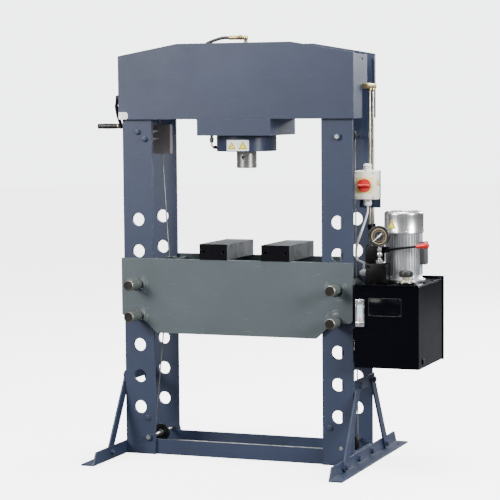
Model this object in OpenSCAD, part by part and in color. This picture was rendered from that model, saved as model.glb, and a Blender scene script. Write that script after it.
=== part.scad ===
// Electro-hydraulic shop press: H-frame, pinned table, cylinder, winch and power unit.
// Front is -Y, right is +X, the floor is Z = 0, and the frame is centred on X and Y.

/* [Frame] */
// Height of the head beam's top edge above the floor
frame_h = 1955; // [1900:5:2000]
// Width over the head beam
beam_w = 1170; // [1150:10:1170]
// Depth over the head beam's two plates
frame_d = 346; // [340:2:350]
// Thickness of the beam and table plates
plate_t = 20; // [18:1:20]
// Width of each post
post_w = 150; // [146:2:152]
// Thickness of each post
post_t = 15; // [12:1:15]
// Length of each foot
foot_l = 1050; // [1000:10:1100]
// Leg of the foot angle
foot_leg = 64; // [60:1:66]

/* [Table] */
// Diameter of the holes in the posts
hole_d = 62; // [60:1:64]
// Height between two rows of holes
hole_pitch = 150; // [150:1:152]
// Height of the top row of holes
hole_top = 1127; // [1120:1:1130]
// Diameter of the table pins
pin_d = 50; // [46:1:50]
// Length of the table pins
pin_l = 476; // [460:2:500]
// Height of the table plates
table_h = 354; // [340:2:360]
// Length of each press block
block_l = 350; // [340:2:360]

/* [Cylinder] */
// Diameter of the ram
ram_d = 95; // [80:1:100]
// Bore of the cylinder
bore_d = 190; // [180:2:196]
// Diameter of the cylinder head
gland_d = 283; // [270:1:290]
// Height of the ram's lower face, pulled in
ram_z = 1370; // [1366:1:1376]

/* [Power unit] */
// Width of the oil tank
tank_w = 304; // [290:2:310]
// Depth of the oil tank
tank_d = 420; // [400:4:430]
// Height of the oil tank
tank_h = 374; // [360:2:380]
// Diameter over the motor's fan cover
motor_d = 182; // [176:2:190]
// Diameter of the pressure gauge
gauge_d = 98; // [90:1:100]

/* [Winch] */
// Diameter of the wire rope
rope_d = 6; // [5:0.5:6]
// Length of the crank arm
crank_l = 140; // [120:5:150]
// Radius of the rope on a pulley
sheave_r = 35; // [34:0.5:36]

/* [Hidden] */
$fn = 48;
eps = 0.01;
half_w = beam_w / 2;
half_d = frame_d / 2;
post_y = half_d - plate_t;           // outer face of the posts
post_x = 573;                        // outer edge of the posts
post_in = post_x - post_w;           // inner edge of the posts
post_mid = post_x - post_w / 2;      // centre line of the holes
post_h = 1880;
beam_z = 1602;                       // underside of the beam
corner_z = frame_h - 53;
slope_x = 282;                       // where the beam's top edge starts to fall
end_t = half_w - post_x;
base_h = 72;
base_t = 12;
foot_t = 8;
brace_w = 50;
brace_out = post_x + 2 * foot_t;     // outer face of the braces
brace_low = [320, 32];
brace_top = [109, 372];
tie_z = [346, 398];
weld = 0.2;
bolt_d = 12;
bolt_clear = 0.5;
anchor_d = 14;
anchor_x = 612;
anchor_y = 440;
foot_bolt_y = 105;

table_z = 590;                       // underside of the table plates
table_top = table_z + table_h;
table_gap = 1;                       // between a table plate and a post
table_end = 578;
table_end_z = 665;                   // underside of the plates' ends
table_low_x = 398;
spacer_x = 380;
spacer_t = 12;
fit_gap = 0.3;
pin_row = [2, 3];
pin_drop = hole_d / 2 - pin_d / 2 - fit_gap;
block_w = 139;
block_h = 74;
block_x = [-105, 204];

mount_w = 366;
mount_z = 1525;
barrel_d = 240;
barrel_top = 1935;
bore_top = 1895;
gland_z = 1450;
piston_z = [1822, 1882];
nose_h = 31;
spigot_d = 60;
socket_d = 40;
run_gap = 0.05;
port_at = [-160, -45];
port_z = 1468;
elbow_z = 1984;
pipe_r = 6;
pipe_x = 600;
pipe_y = [28, 78];
pipe_top = 1738;
pipe_low = 1110;
notch_y = -40;
block_rise = 24;                     // height of the connector block above the pipes
block_z = pipe_top + block_rise / 2;

winch_y = -33;
drum_z = 1655;
drum_r = 30;
gear_m = 2;
gear_teeth = 40;
pinion_teeth = 17;
gear_x = -385;
gear_t = 8;
centre_gap = gear_m * (gear_teeth + pinion_teeth) / 2;
crank_y = -60;
crank_z = drum_z + sqrt(pow(centre_gap, 2) - pow(crank_y - winch_y, 2));
crank_x = -640;
crank_rest = 14;                     // the arm hangs this far back from plumb
grip_l = 107;
shaft_r = 10;
rope_r = rope_d / 2;
sheave_rim = sheave_r + 6;
sheave_t = 14;
rope_top = [-448, drum_z];
rope_low = [-405, 938];
pulley_bl = [-455, 82];
pulley_br = [511, 82];
pulley_tr = [502, 1520];
left_anchor = [-424, 718];
right_anchor = [pulley_tr[0] - sheave_r, 900];
guard_x = [-480, -375];
guard_z = [1437, 1577];
guard_y = -40;
winch_bolts = [[-495, 1544], [-459, 1510]];

tank_x = 596;
tank_z = 471;
lid_t = 6;
lid_z = tank_z + tank_h;
deck_z = lid_z + lid_t;              // top of the lid
wall = 3;
motor_x = 771;
fin_z = [873, 1080];
hood_z = [1076, 1175];
filler_at = [826, -155];
switch_x = [563, 663];
switch_y = [-100, -22];
switch_z = [1230, 1363];
switch_mid = [(switch_x[0] + switch_x[1]) / 2, (switch_z[0] + switch_z[1]) / 2];
gland_at = [616, -61];
gauge_at = [700, -151.5, 1068];
gauge_t = 34;
lever_at = [718, -110, 1003];
lever_rise = 7;
lever_l = 205;

// Route of the grey cable from the switch to the plug beside the valve
cable_r = 5;
cable_path = [
    [616, -61, 1195.9], [616, -61, 1184], [614, -62, 1166], [604, -66, 1130], [592, -72, 1090], [580, -78, 1052],
    [571, -82, 1020], [567, -84, 990], [569, -85, 965], [579, -86, 949], [594, -87, 944],
    [605, -88, 938], [606, -88, 927], [604, -88, 917], [604, -88, 908.1]];
// Route of the hose from the cylinder's top port to the pipe in the beam
hose_r = 7.5;
hose_path = [
    [-85, 0, 1984], [-112, 0, 1984], [-150, 0, 1976], [-191, 0, 1961], [-228, 4, 1936],
    [-258, 12, 1902], [-276, 26, 1862], [-282, 46, 1820], [-276, 72, 1780], [-256, 100, 1742],
    [-220, 124, 1708], [-170, 137, 1684], [-110, 139, 1672], [-40, 139, 1668], [40, 139, 1668],
    [120, 139, 1670], [190, 136, 1678], [260, 126, 1692], [330, 110, 1712], [400, 92, 1732],
    [460, 81, 1746], [500, 78, 1750], [538, 78, 1750]];
// Route of the pipe from the cylinder's lower port to the pipe in the beam
lower_path = [
    [-160, -45, 1552], [-160, -48, 1590], [-162, -66, 1624], [-158, -100, 1650], [-138, -128, 1668],
    [-100, -138, 1680], [0, -139, 1684], [100, -138, 1688], [180, -128, 1696], [260, -96, 1710],
    [350, -44, 1730], [440, 6, 1746], [495, 26, 1750], [538, 28, 1750]];
// Routes of the two hoses from the pipes to the valve
valve_hose_r = 7;
valve_path_a = [[600, 28, 1083.9], [600, 28, 1072], [601, 25, 1044], [608, 8, 1012], [622, -18, 990], [634, -44, 978],
    [640, -58, 973], [640, -68.9, 973]];
valve_path_b = [[600, 78, 1083.9], [600, 78, 1072], [602, 74, 1040], [612, 56, 1002], [628, 22, 970], [646, -20, 946],
    [658, -54, 934], [662, -76, 931], [662, -87.9, 931]];

// ---- shared shapes ----

// A cylinder along +Y from y0 to y1
module rod_y(x, z, y0, y1, r) translate([x, y1, z]) rotate([90, 0, 0]) cylinder(h = y1 - y0, r = r);

// A cylinder along +X from x0 to x1
module rod_x(y, z, x0, x1, r) translate([x0, y, z]) rotate([0, 90, 0]) cylinder(h = x1 - x0, r = r);

// A hexagon along +Y or +X, by its distance across flats
module hex_y(x, z, y0, y1, af) translate([x, y1, z]) rotate([90, 0, 0]) cylinder(h = y1 - y0, r = af / sqrt(3), $fn = 6);
module hex_x(y, z, x0, x1, af) translate([x0, y, z]) rotate([0, 90, 0]) cylinder(h = x1 - x0, r = af / sqrt(3), $fn = 6);

// An outline in X and Z, made a plate from y0 to y1
module plate_y(y0, y1) translate([0, y1, 0]) rotate([90, 0, 0]) linear_extrude(y1 - y0) children();

// An outline in Y and Z, made a plate from x0 to x1
module plate_x(x0, x1) translate([x0, 0, 0]) rotate([90, 0, 90]) linear_extrude(x1 - x0) children();

// A box between two corners
module box(lo, hi) translate(lo) cube(hi - lo);

// A round bar between two points
module bar(a, b, r) {
    d = b - a;
    l = norm(d);
    translate(a) rotate([0, acos(d[2] / l), atan2(d[1], d[0])]) cylinder(h = l, r = r);
}

// ---- a round tube swept along a list of points ----

function unit(v) = v / norm(v);
function heading(p, i) =
    unit(i == 0 ? p[1] - p[0] : i == len(p) - 1 ? p[i] - p[i - 1] : unit(p[i + 1] - p[i]) + unit(p[i] - p[i - 1]));
function side(t) = unit(cross(t, abs(t[1]) < 0.8 ? [0, 1, 0] : [1, 0, 0]));
function ring_at(c, t, s, r, n) = [for (k = [0:n - 1]) c + r * (s * cos(360 * k / n) + cross(t, s) * sin(360 * k / n))];
function carried(s, t) = unit(s - t * (s * t));
function sides(p, i) = i == 0 ? [side(heading(p, 0))]
    : let (before = sides(p, i - 1)) concat(before, [carried(before[i - 1], heading(p, i))]);

module tube_along(p, r, n = 8) {
    frames = sides(p, len(p) - 1);
    points = [for (i = [0:len(p) - 1]) each ring_at(p[i], heading(p, i), frames[i], r, n)];
    walls = [for (i = [0:len(p) - 2]) for (k = [0:n - 1])
        let (a = i * n + k, b = i * n + (k + 1) % n) each [[a, a + n, b], [b, a + n, b + n]]];
    low_end = [[for (k = [0:n - 1]) k]];
    high_end = [[for (k = [n - 1:-1:0]) (len(p) - 1) * n + k]];
    polyhedron(points, concat(walls, low_end, high_end), convexity = 6);
}

// ---- gear outline with involute flanks ----

pressure = 20;
function inv(a) = tan(a) * 180 / PI - a;
function flank(r, base, half) = half + inv(pressure) - inv(acos(min(1, base / r)));
function gear_points(teeth, m, slack) =
    let (pitch = m * teeth / 2, base = pitch * cos(pressure), tip = pitch + 0.95 * m, root = pitch - 1.25 * m,
        half = 90 / teeth - slack, start = max(base, root) + 0.05, steps = 3,
        radii = [for (i = [0:steps]) start + (tip - start) * i / steps])
    [for (t = [0:teeth - 1]) let (a = 360 * t / teeth) each concat(
        [[root * cos(a - flank(start, base, half)), root * sin(a - flank(start, base, half))]],
        [for (r = radii) [r * cos(a - flank(r, base, half)), r * sin(a - flank(r, base, half))]],
        [for (i = [steps:-1:0]) [radii[i] * cos(a + flank(radii[i], base, half)), radii[i] * sin(a + flank(radii[i], base, half))]],
        [[root * cos(a + flank(start, base, half)), root * sin(a + flank(start, base, half))]])];

// A gear about the X axis at (y, z), with a tooth on the line at angle a
module gear_x(y, z, x0, teeth, a) translate([x0, y, z]) rotate([90, 0, 90]) rotate([0, 0, a])
    linear_extrude(gear_t) polygon(gear_points(teeth, gear_m, 0.12));

// ---- head beam ----

module beam_outline() polygon([
    [-half_w, beam_z], [half_w, beam_z], [half_w, corner_z], [slope_x, frame_h],
    [-slope_x, frame_h], [-half_w, corner_z]]);

module beam_front_plate() color("slategray") plate_y(-half_d, -post_y) beam_outline();
module beam_rear_plate() color("slategray") plate_y(post_y, half_d) beam_outline();

// The left end is closed, and the right end stays open behind, with a notch for the pipes
module beam_end_plates() color("slategray") {
    difference() {
        box([-half_w, -post_y, beam_z], [-post_x, post_y, corner_z - 6]);
        rod_x(crank_y, crank_z, -half_w - 1, -post_x + 1, shaft_r + 3);
    }
    difference() {
        box([post_x, -post_y, beam_z], [half_w, 38, corner_z - 6]);
        box([post_x - 1, notch_y, beam_z - 1], [half_w + 1, 39, pipe_top + block_rise]);
        rod_x(-35, corner_z - 27, post_x - 1, half_w + 1, 6);
    }
}

// ---- cylinder mount: a welded box under the beam ----

module cylinder_mount() color("slategray") difference() {
    union() {
        difference() {
            box([-mount_w / 2, -half_d, mount_z], [mount_w / 2, half_d, beam_z]);
            box([-mount_w / 2 + 10, -half_d + 14, mount_z + 25], [mount_w / 2 - 10, half_d - 14, beam_z + 1]);
        }
        difference() {
            box([-mount_w / 2, -post_y, beam_z + 100], [mount_w / 2, post_y, beam_z + 112]);
            box([-mount_w / 2 - 1, -post_y - 1, beam_z + 99], [-mount_w / 2 + 1, -post_y, beam_z + 113]);
        }
        for (s = [-1, 1]) box([s * (mount_w / 2 - 5) - 5, -60, beam_z], [s * (mount_w / 2 - 5) + 5, 60, beam_z + 100]);
    }
    translate([0, 0, mount_z - 1]) cylinder(h = beam_z + 120 - mount_z, r = barrel_d / 2 + 0.1);
    translate([port_at[0], port_at[1], mount_z - 1]) cylinder(h = 27, r = 8);
    for (s = [-1, 1]) translate([0, s * 139, beam_z + 99]) rotate([0, 0, 0]) cylinder(h = 14, r = 10);
}

// ---- posts ----

module post(sx, sy, bolts) difference() {
    box([min(sx * post_in, sx * post_x), min(sy * (post_y - post_t), sy * post_y), 0],
        [max(sx * post_in, sx * post_x), max(sy * (post_y - post_t), sy * post_y), post_h]);
    for (k = [0:6]) rod_y(sx * post_mid, hole_top - k * hole_pitch, -post_y - 1, post_y + 1, hole_d / 2);
    for (b = bolts) rod_y(b[0], b[1], -post_y - 1, post_y + 1, b[2] + bolt_clear / 2);
}

left_axles = [[pulley_bl[0], pulley_bl[1], shaft_r]];
right_axles = [[pulley_br[0], pulley_br[1], shaft_r], [pulley_tr[0], pulley_tr[1], shaft_r]];

module post_front_left() color("slategray")
    post(-1, -1, concat(left_axles, [for (b = winch_bolts) [b[0], b[1], bolt_d / 2]]));
module post_front_right() color("slategray") post(1, -1, right_axles);
module post_rear_left() color("slategray") post(-1, 1, left_axles);
module post_rear_right() color("slategray") post(1, 1, right_axles);

// ---- base ----

base_y = post_y - post_t;

module base_channel() color("slategray") difference() {
    union() {
        box([-post_x, -base_y, 0], [post_x, base_y, 10]);
        for (s = [-1, 1]) box([-post_x, s * (base_y - base_t / 2) - base_t / 2, 9],
            [post_x, s * (base_y - base_t / 2) + base_t / 2, base_h]);
        for (s = [-1, 1]) box([s * (post_x - 6) - 6, -base_y + 1, 9], [s * (post_x - 6) + 6, base_y - 1, base_h - 8]);
    }
    for (y = [-foot_bolt_y, foot_bolt_y]) rod_x(y, 32, -post_x - 1, post_x + 1, bolt_d / 2 + bolt_clear / 2);
}

// An angle lying along Y; the ends of its upright leg are cut back
module foot(s) mirror([s > 0 ? 0 : 1, 0, 0]) difference() {
    union() {
        plate_x(post_x, post_x + foot_t) polygon([[-foot_l / 2, 0], [foot_l / 2, 0],
            [foot_l / 2 - 36, foot_leg - 4], [-foot_l / 2 + 36, foot_leg - 4]]);
        box([post_x + foot_t - eps, -foot_l / 2, 0], [post_x + foot_leg, foot_l / 2, foot_t]);
    }
    for (y = [-anchor_y, anchor_y]) translate([anchor_x, y, -1]) cylinder(h = foot_t + 2, r = anchor_d / 2);
    for (y = [-brace_low[0], -foot_bolt_y, foot_bolt_y, brace_low[0]])
        rod_x(y, brace_low[1], post_x - 1, post_x + foot_t + 1, bolt_d / 2 + bolt_clear / 2);
}

module foot_left() color("slategray") foot(-1);
module foot_right() color("slategray") foot(1);

// A flat bar from the foot up to the tie, on one side and at the front or the back
module brace(sx, sy) {
    run = [brace_low[0] - brace_top[0], brace_top[1] - brace_low[1]];
    lean = atan2(run[0], run[1]);
    difference() {
        translate([sx * (post_x + 1.5 * foot_t), sy * brace_low[0], brace_low[1]]) rotate([sy * lean, 0, 0])
            translate([-foot_t / 2, -brace_w / 2, -22]) cube([foot_t, brace_w, norm(run) + 44]);
        box([-brace_out - 1, -foot_l, -50], [brace_out + 1, foot_l, foot_t + 0.5]);
        box([-brace_out - 1, -foot_l, tie_z[1] - 2], [brace_out + 1, foot_l, tie_z[1] + 100]);
        for (p = [brace_low, brace_top])
            rod_x(sy * p[0], p[1], -brace_out - 1, brace_out + 1, bolt_d / 2 + bolt_clear / 2);
    }
}

module foot_braces() color("slategray") for (sx = [-1, 1]) {
    for (sy = [-1, 1]) brace(sx, sy);
    difference() {
        mirror([sx > 0 ? 0 : 1, 0, 0]) box([post_x, -post_y, tie_z[0]], [post_x + foot_t + weld, post_y, tie_z[1]]);
        for (sy = [-1, 1]) rod_x(sy * brace_top[0], brace_top[1], -brace_out - 1, brace_out + 1, bolt_d / 2 + bolt_clear / 2);
    }
}

// A bolt along X with its head at x1 and its nut below x0
module bolt_x(s, y, z, x0, x1) mirror([s > 0 ? 0 : 1, 0, 0]) {
    rod_x(y, z, x0 - 14, x1, bolt_d / 2);
    hex_x(y, z, x1, x1 + 8, 19);
    difference() {
        hex_x(y, z, x0 - 10, x0, 19);
        rod_x(y, z, x0 - 11, x0 + 1, bolt_d / 2);
    }
}

// An axle through both posts, with a nut at each end
module axle(p) {
    rod_y(p[0], p[1], -post_y - 16, post_y + 16, shaft_r);
    for (s = [-1, 1]) difference() {
        hex_y(p[0], p[1], s * (post_y + 6) - 6, s * (post_y + 6) + 6, 30);
        rod_y(p[0], p[1], -post_y - 20, post_y + 20, shaft_r);
    }
    for (s = [-1, 1]) difference() {
        rod_y(p[0], p[1], s * 14 - 5, s * 14 + 5, shaft_r + 5);
        rod_y(p[0], p[1], -20, 20, shaft_r);
    }
}

module axles_and_bolts() color("silver") {
    for (p = [pulley_bl, pulley_br, pulley_tr]) axle(p);
    for (s = [-1, 1]) {
        for (y = [-foot_bolt_y, foot_bolt_y]) bolt_x(s, y, 32, post_x - 12, post_x + foot_t);
        for (y = [-brace_low[0], brace_low[0]]) bolt_x(s, y, brace_low[1], post_x, brace_out);
        for (y = [-brace_top[0], brace_top[0]]) bolt_x(s, y, brace_top[1], post_x, brace_out);
        // the round stop on each front post
        rod_y(s * 458.7, 176, -post_y - 6, -post_y, 14);
    }
    for (b = winch_bolts) {
        rod_y(b[0], b[1], -post_y, -post_y + 36, bolt_d / 2);
        hex_y(b[0], b[1], -post_y - 8, -post_y, 19);
    }
}

// ---- cylinder ----

module cylinder_barrel() color("dimgray") difference() {
    translate([0, 0, mount_z]) cylinder(h = barrel_top - mount_z, r = barrel_d / 2);
    translate([0, 0, mount_z - 1]) cylinder(h = bore_top - mount_z + 1, r = bore_d / 2);
    translate([0, 0, bore_top - 1]) cylinder(h = barrel_top - bore_top + 2, r = 5);
}

module cylinder_gland() color("slategray") difference() {
    union() {
        translate([0, 0, gland_z]) cylinder(h = mount_z - gland_z, r = gland_d / 2);
        translate([0, 0, mount_z]) cylinder(h = 20, r = bore_d / 2 - run_gap);
    }
    translate([0, 0, gland_z - 1]) cylinder(h = mount_z - gland_z + 22, r = ram_d / 2 + run_gap);
    rod_x(port_at[1], port_z, -gland_d, -118, 8);
}

module ram_rod() color("lightgray") difference() {
    translate([0, 0, ram_z + nose_h]) cylinder(h = piston_z[1] - ram_z - nose_h + 6, r = ram_d / 2);
    translate([0, 0, piston_z[0]]) difference() {
        cylinder(h = 90, r = ram_d);
        translate([0, 0, -1]) cylinder(h = 92, r = 30);
    }
    translate([0, 0, ram_z + nose_h - 1]) cylinder(h = 41, r = spigot_d / 2 + run_gap);
    rod_y(0, ram_z + 50, -ram_d, -10, 8);
}

module piston() color("gray") {
    difference() {
        translate([0, 0, piston_z[0]]) cylinder(h = piston_z[1] - piston_z[0], r = bore_d / 2 - 0.1);
        translate([0, 0, piston_z[0] - 1]) cylinder(h = 80, r = 30.05);
        for (z = [piston_z[0] + 14, piston_z[0] + 36]) translate([0, 0, z]) difference() {
            cylinder(h = 10, r = bore_d);
            translate([0, 0, -1]) cylinder(h = 12, r = bore_d / 2 - 8);
        }
    }
    for (z = [piston_z[0] + 14, piston_z[0] + 36]) translate([0, 0, z]) difference() {
        cylinder(h = 10, r = bore_d / 2 - run_gap);
        translate([0, 0, -1]) cylinder(h = 12, r = bore_d / 2 - 8);
    }
}

// The pressing foot, with a socket below for a tool's shank
module ram_nose() color("silver") difference() {
    union() {
        translate([0, 0, ram_z + 2]) cylinder(h = nose_h - 5, r = ram_d / 2);
        translate([0, 0, ram_z]) cylinder(h = nose_h, r = ram_d / 2 - 2);
        translate([0, 0, ram_z + nose_h - eps]) cylinder(h = 38, r = spigot_d / 2);
    }
    translate([0, 0, ram_z - 1]) cylinder(h = 51, r = socket_d / 2);
    rod_y(0, ram_z + 50, -ram_d, -15, 4);
}

// ---- hydraulic fittings and lines ----

module port_fittings() color("goldenrod") {
    // top port: stub, elbow, nut and crimped ferrule
    translate([0, 0, barrel_top]) cylinder(h = elbow_z - barrel_top - 8, r = 9);
    translate([0, 0, barrel_top + 14]) cylinder(h = 12, r = 13, $fn = 6);
    box([-9, -9, elbow_z - 8], [9, 9, elbow_z + 9]);
    rod_x(0, elbow_z, -14, -9, 7);
    hex_x(0, elbow_z, -40, -14, 22);
    rod_x(0, elbow_z, -85, -40, 9);
    // lower port: stub under the mount and black union at the head
    translate([port_at[0], port_at[1], 1490]) cylinder(h = mount_z - 1490, r = 7);
    translate([port_at[0], port_at[1], 1500]) cylinder(h = 14, r = 11, $fn = 6);
    rod_x(port_at[1], port_z, -138, -120, 7.9);
    // connector block in the notch of the beam's end, with a union for each line inside the beam
    box([560, notch_y + 0.5, pipe_top], [pipe_x + 9, 110, pipe_top + block_rise]);
    for (y = pipe_y) hex_x(y, block_z, 538, 561, 22);
    // nuts at the foot of the pipes
    for (y = pipe_y) translate([pipe_x, y, pipe_low - 26]) cylinder(h = 26, r = 12, $fn = 6);
}

module top_hose() color("#222222") tube_along(hose_path, hose_r);

// Two pipes down the right post, and the small pipe to the cylinder's head
module steel_pipes() color("wheat") {
    for (y = pipe_y) translate([pipe_x, y, pipe_low]) cylinder(h = pipe_top - pipe_low, r = pipe_r);
    translate([port_at[0], port_at[1], port_z + 12]) cylinder(h = 1490 - port_z - 12, r = 4);
    translate([port_at[0] + 12, port_at[1], port_z + 12]) rotate([90, 0, 0]) rotate([0, 0, 180])
        rotate_extrude(angle = 90) translate([12, 0]) circle(r = 4);
    rod_x(port_at[1], port_z, port_at[0] + 12, -138, 4);
    translate([port_at[0], port_at[1], mount_z]) cylinder(h = 27, r = 4.5);
    tube_along(lower_path, 4.5);
}

module valve_hoses() color("#222222") {
    tube_along(valve_path_a, valve_hose_r);
    tube_along(valve_path_b, valve_hose_r);
}

// ---- table ----

table_y = post_y + table_gap;
pin_z = [for (k = pin_row) hole_top - k * hole_pitch - pin_drop];

module table_plate() difference() {
    polygon([[-table_end, table_top], [table_end, table_top], [table_end, table_end_z + 12], [table_end - 12, table_end_z],
        [post_in + 60, table_end_z], [table_low_x, table_z], [-table_low_x, table_z], [-post_in - 60, table_end_z],
        [-table_end + 12, table_end_z], [-table_end, table_end_z + 12]]);
    for (s = [-1, 1]) {
        translate([s * post_mid, pin_z[0] - pin_drop]) circle(r = hole_d / 2);
        translate([s * post_mid, pin_z[1] - pin_drop]) circle(r = hole_d / 2);
        translate([s * post_mid - hole_d / 2, table_end_z - 20]) square([hole_d, pin_z[1] - pin_drop - table_end_z + 20]);
    }
}

module table_front_plate() color("gray") plate_y(-table_y - plate_t, -table_y) table_plate();
module table_rear_plate() color("gray") plate_y(table_y, table_y + plate_t) table_plate();

// Cross plates that join the two table plates, with the brackets for the ropes
module table_spacers() color("gray") {
    for (s = [-1, 1]) box([s * spacer_x - spacer_t / 2, -table_y, 640], [s * spacer_x + spacer_t / 2, table_y, 930]);
    box([-6, -table_y, 620], [6, table_y, 760]);
    difference() {
        box([-425, -18, 929], [-spacer_x + 6, 18, 941]);
        rod_z(rope_low[0], 900, 960, 4.5);
    }
    difference() {
        box([-442, -18, 700], [-spacer_x - 6, 18, 712]);
        rod_z(left_anchor[0], 690, 720, 5);
    }
    difference() {
        box([spacer_x + 6, -18, 916], [486, 18, 928]);
        rod_z(right_anchor[0], 900, 940, 5);
    }
}

module rod_z(x, z0, z1, r) translate([x, 0, z0]) cylinder(h = z1 - z0, r = r);

// A press block: a solid bar with two threaded eyes in each end
module press_block(x) difference() {
    box([x - block_w / 2, -block_l / 2 - 2, table_top + 0.2], [x + block_w / 2, block_l / 2 - 2, table_top + block_h]);
    for (dx = [-48, 48]) rod_y(x + dx, table_top + 37, -block_l / 2 - 3, -block_l / 2 + 28, 7);
    for (dx = [-48, 48]) rod_y(x + dx, table_top + 37, block_l / 2 - 32, block_l / 2, 7);
}

module block_left() color("#3c3c40") press_block(block_x[0]);
module block_right() color("#3c3c40") press_block(block_x[1]);

// A plain round pin with chamfered ends
module table_pin(x, z, out) translate([x, -table_y - plate_t - out, z]) rotate([-90, 0, 0]) {
    cylinder(h = 5, r1 = pin_d / 2 - 4, r2 = pin_d / 2);
    translate([0, 0, 5 - eps]) cylinder(h = pin_l - 10 + 2 * eps, r = pin_d / 2);
    translate([0, 0, pin_l - 5]) cylinder(h = 5, r1 = pin_d / 2, r2 = pin_d / 2 - 4);
}

module pin_upper_left() color("silver") table_pin(-post_mid, pin_z[0], 104);
module pin_lower_left() color("silver") table_pin(-post_mid, pin_z[1], 106);
module pin_upper_right() color("silver") table_pin(post_mid, pin_z[0], 92);
module pin_lower_right() color("silver") table_pin(post_mid, pin_z[1], 96);

// ---- winch ----

winch_x = [-512, -390];
bearing_gap = 0.06;

module crank_arm() color("#555555") {
    rod_x(crank_y, crank_z, crank_x + 12, gear_x - 2, shaft_r);
    difference() {
        gear_x(crank_y, crank_z, gear_x, pinion_teeth, mesh_angle() + 180 + 180 / pinion_teeth);
        rod_x(crank_y, crank_z, gear_x - 1, gear_x + gear_t + 1, 6);
    }
    rod_x(crank_y, crank_z, gear_x - 2 - eps, gear_x + gear_t + 3, 6);
    translate([crank_x, crank_y, crank_z]) rotate([crank_rest, 0, 0]) {
        translate([12, 0, 0]) rotate([0, -90, 0]) cylinder(h = 24, r = 15);
        // the bent flat arm
        translate([0, 11, 0]) rotate([90, 0, 0]) linear_extrude(22) polygon([
            [-12, -8], [-4, -16], [-9, -40], [-4, -90], [6, 8 - crank_l], [6, -crank_l - 13],
            [-2, -crank_l - 13], [-2, 8 - crank_l], [-12, -90], [-17, -38], [-12, -12]]);
        // the spindle that the grip turns on
        rod_x(0, -crank_l, -grip_l - 24, -2 + eps, 5);
        rod_x(0, -crank_l, -grip_l - 24, -grip_l - 19, 8);
        rod_x(0, -crank_l, -9, -2, 11);
    }
}

module crank_grip() color("#222222") translate([crank_x, crank_y, crank_z]) rotate([crank_rest, 0, 0])
    translate([-9.3, 0, -crank_l]) rotate([0, -90, 0]) difference() {
        rotate_extrude() polygon([[0, 0], [9, 0], [11, 3], [11.5, grip_l - 24], [13, grip_l - 14],
            [14, grip_l - 10.5], [0, grip_l - 10.5]]);
        translate([0, 0, -1]) cylinder(h = grip_l, r = 5 + bearing_gap);
    }

function mesh_angle() = atan2(crank_z - drum_z, crank_y - winch_y);

// Drum, its two cheeks, the wound rope and the gear, on one shaft
module rope_drum() color("silver") {
    rod_x(winch_y, drum_z, winch_x[0] - 6, gear_x + gear_t + 6, shaft_r);
    difference() {
        union() {
            rod_x(winch_y, drum_z, -496, -404, drum_r - 0.2);
            rod_x(winch_y, drum_z, -500, -494, drum_r + 16);
            rod_x(winch_y, drum_z, -406, -400, drum_r + 16);
            difference() {
                gear_x(winch_y, drum_z, gear_x, gear_teeth, mesh_angle());
                for (a = [0:60:300]) translate([0, winch_y, drum_z]) rotate([a, 0, 0]) rod_x(0, 25, gear_x - 1, gear_x + gear_t + 1, 6);
            }
        }
        rod_x(winch_y, drum_z, winch_x[0] - 8, gear_x + gear_t + 8, shaft_r);
    }
    for (i = [0:5]) translate([-490 + i * (rope_d + 0.4), winch_y, drum_z]) rotate([0, 90, 0])
        rotate_extrude() translate([drum_r + rope_r, 0]) circle(r = rope_r);
}

module winch_frame() color("dimgray") difference() {
    union() {
        box([winch_x[0], -base_y + 0.2, 1495], [-425, -base_y + 8, 1745]);
        box([winch_x[0], -base_y + 0.2, beam_z + 2], [winch_x[1], -base_y + 8, 1745]);
        box([winch_x[0], -base_y + 7, 1600], [winch_x[0] + 6, 10, 1745]);
        box([winch_x[1] - 6, -base_y + 7, 1600], [winch_x[1], 10, 1745]);
    }
    for (x = [winch_x[0], winch_x[1] - 6]) {
        rod_x(crank_y, crank_z, x - 1, x + 7, shaft_r + bearing_gap);
        rod_x(winch_y, drum_z, x - 1, x + 7, shaft_r + bearing_gap);
    }
    for (b = winch_bolts) rod_y(b[0], b[1], -base_y - 1, -base_y + 10, bolt_d / 2 + bolt_clear / 2);
}

// Folded sheet in front of the rope, on two stand-offs
module rope_guard() color("#8a8a8a") {
    box([guard_x[0], guard_y - 2, guard_z[0]], [guard_x[1], guard_y, guard_z[1]]);
    box([guard_x[0], guard_y - eps, guard_z[0]], [guard_x[0] + 2, guard_y + 26, guard_z[1]]);
    box([guard_x[1] - 2, guard_y - eps, guard_z[0]], [guard_x[1], guard_y + 26, guard_z[1]]);
    for (z = [1543, 1509]) {
        rod_y(-440, z, -base_y + 8, guard_y - 2, 7);
        hex_y(-452 + 12, z, guard_y, guard_y + 6, 14);
    }
}

// ---- ropes and pulleys ----

// Angle at which a straight rope from a point touches a pulley on its left side
function touch(p, c) = atan2(p[1] - c[1], p[0] - c[0]) + acos(sheave_r / norm(p - c));
function on_rim(c, a) = [c[0] + sheave_r * cos(a), 0, c[1] + sheave_r * sin(a)];
function flat(p) = [p[0], 0, p[1]];
left_touch = touch(left_anchor, pulley_bl);
rise_touch = atan2(pulley_br[0] - pulley_tr[0], pulley_tr[1] - pulley_br[1]);

module lift_rope() color("lightgray") bar(flat(rope_low), flat(rope_top), rope_r);
module table_rope_left() color("lightgray") {
    start = on_rim(pulley_bl, left_touch);
    bar(start + unit(flat(left_anchor) - start), flat(left_anchor), rope_r);
}
module table_rope_right() color("lightgray") bar(flat(right_anchor), on_rim(pulley_tr, 180), rope_r);

function rim_arc(c, a0, a1, steps) = [for (i = [0:steps]) on_rim(c, a0 + (a1 - a0) * i / steps)];
guide_path = concat(rim_arc(pulley_bl, left_touch, 270, 10), rim_arc(pulley_br, 270, 360 + rise_touch, 10),
    rim_arc(pulley_tr, rise_touch, 180, 18));

// From the left pulley along the base and up the right post
module guide_rope() color("lightgray") tube_along(guide_path, rope_r);

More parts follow.
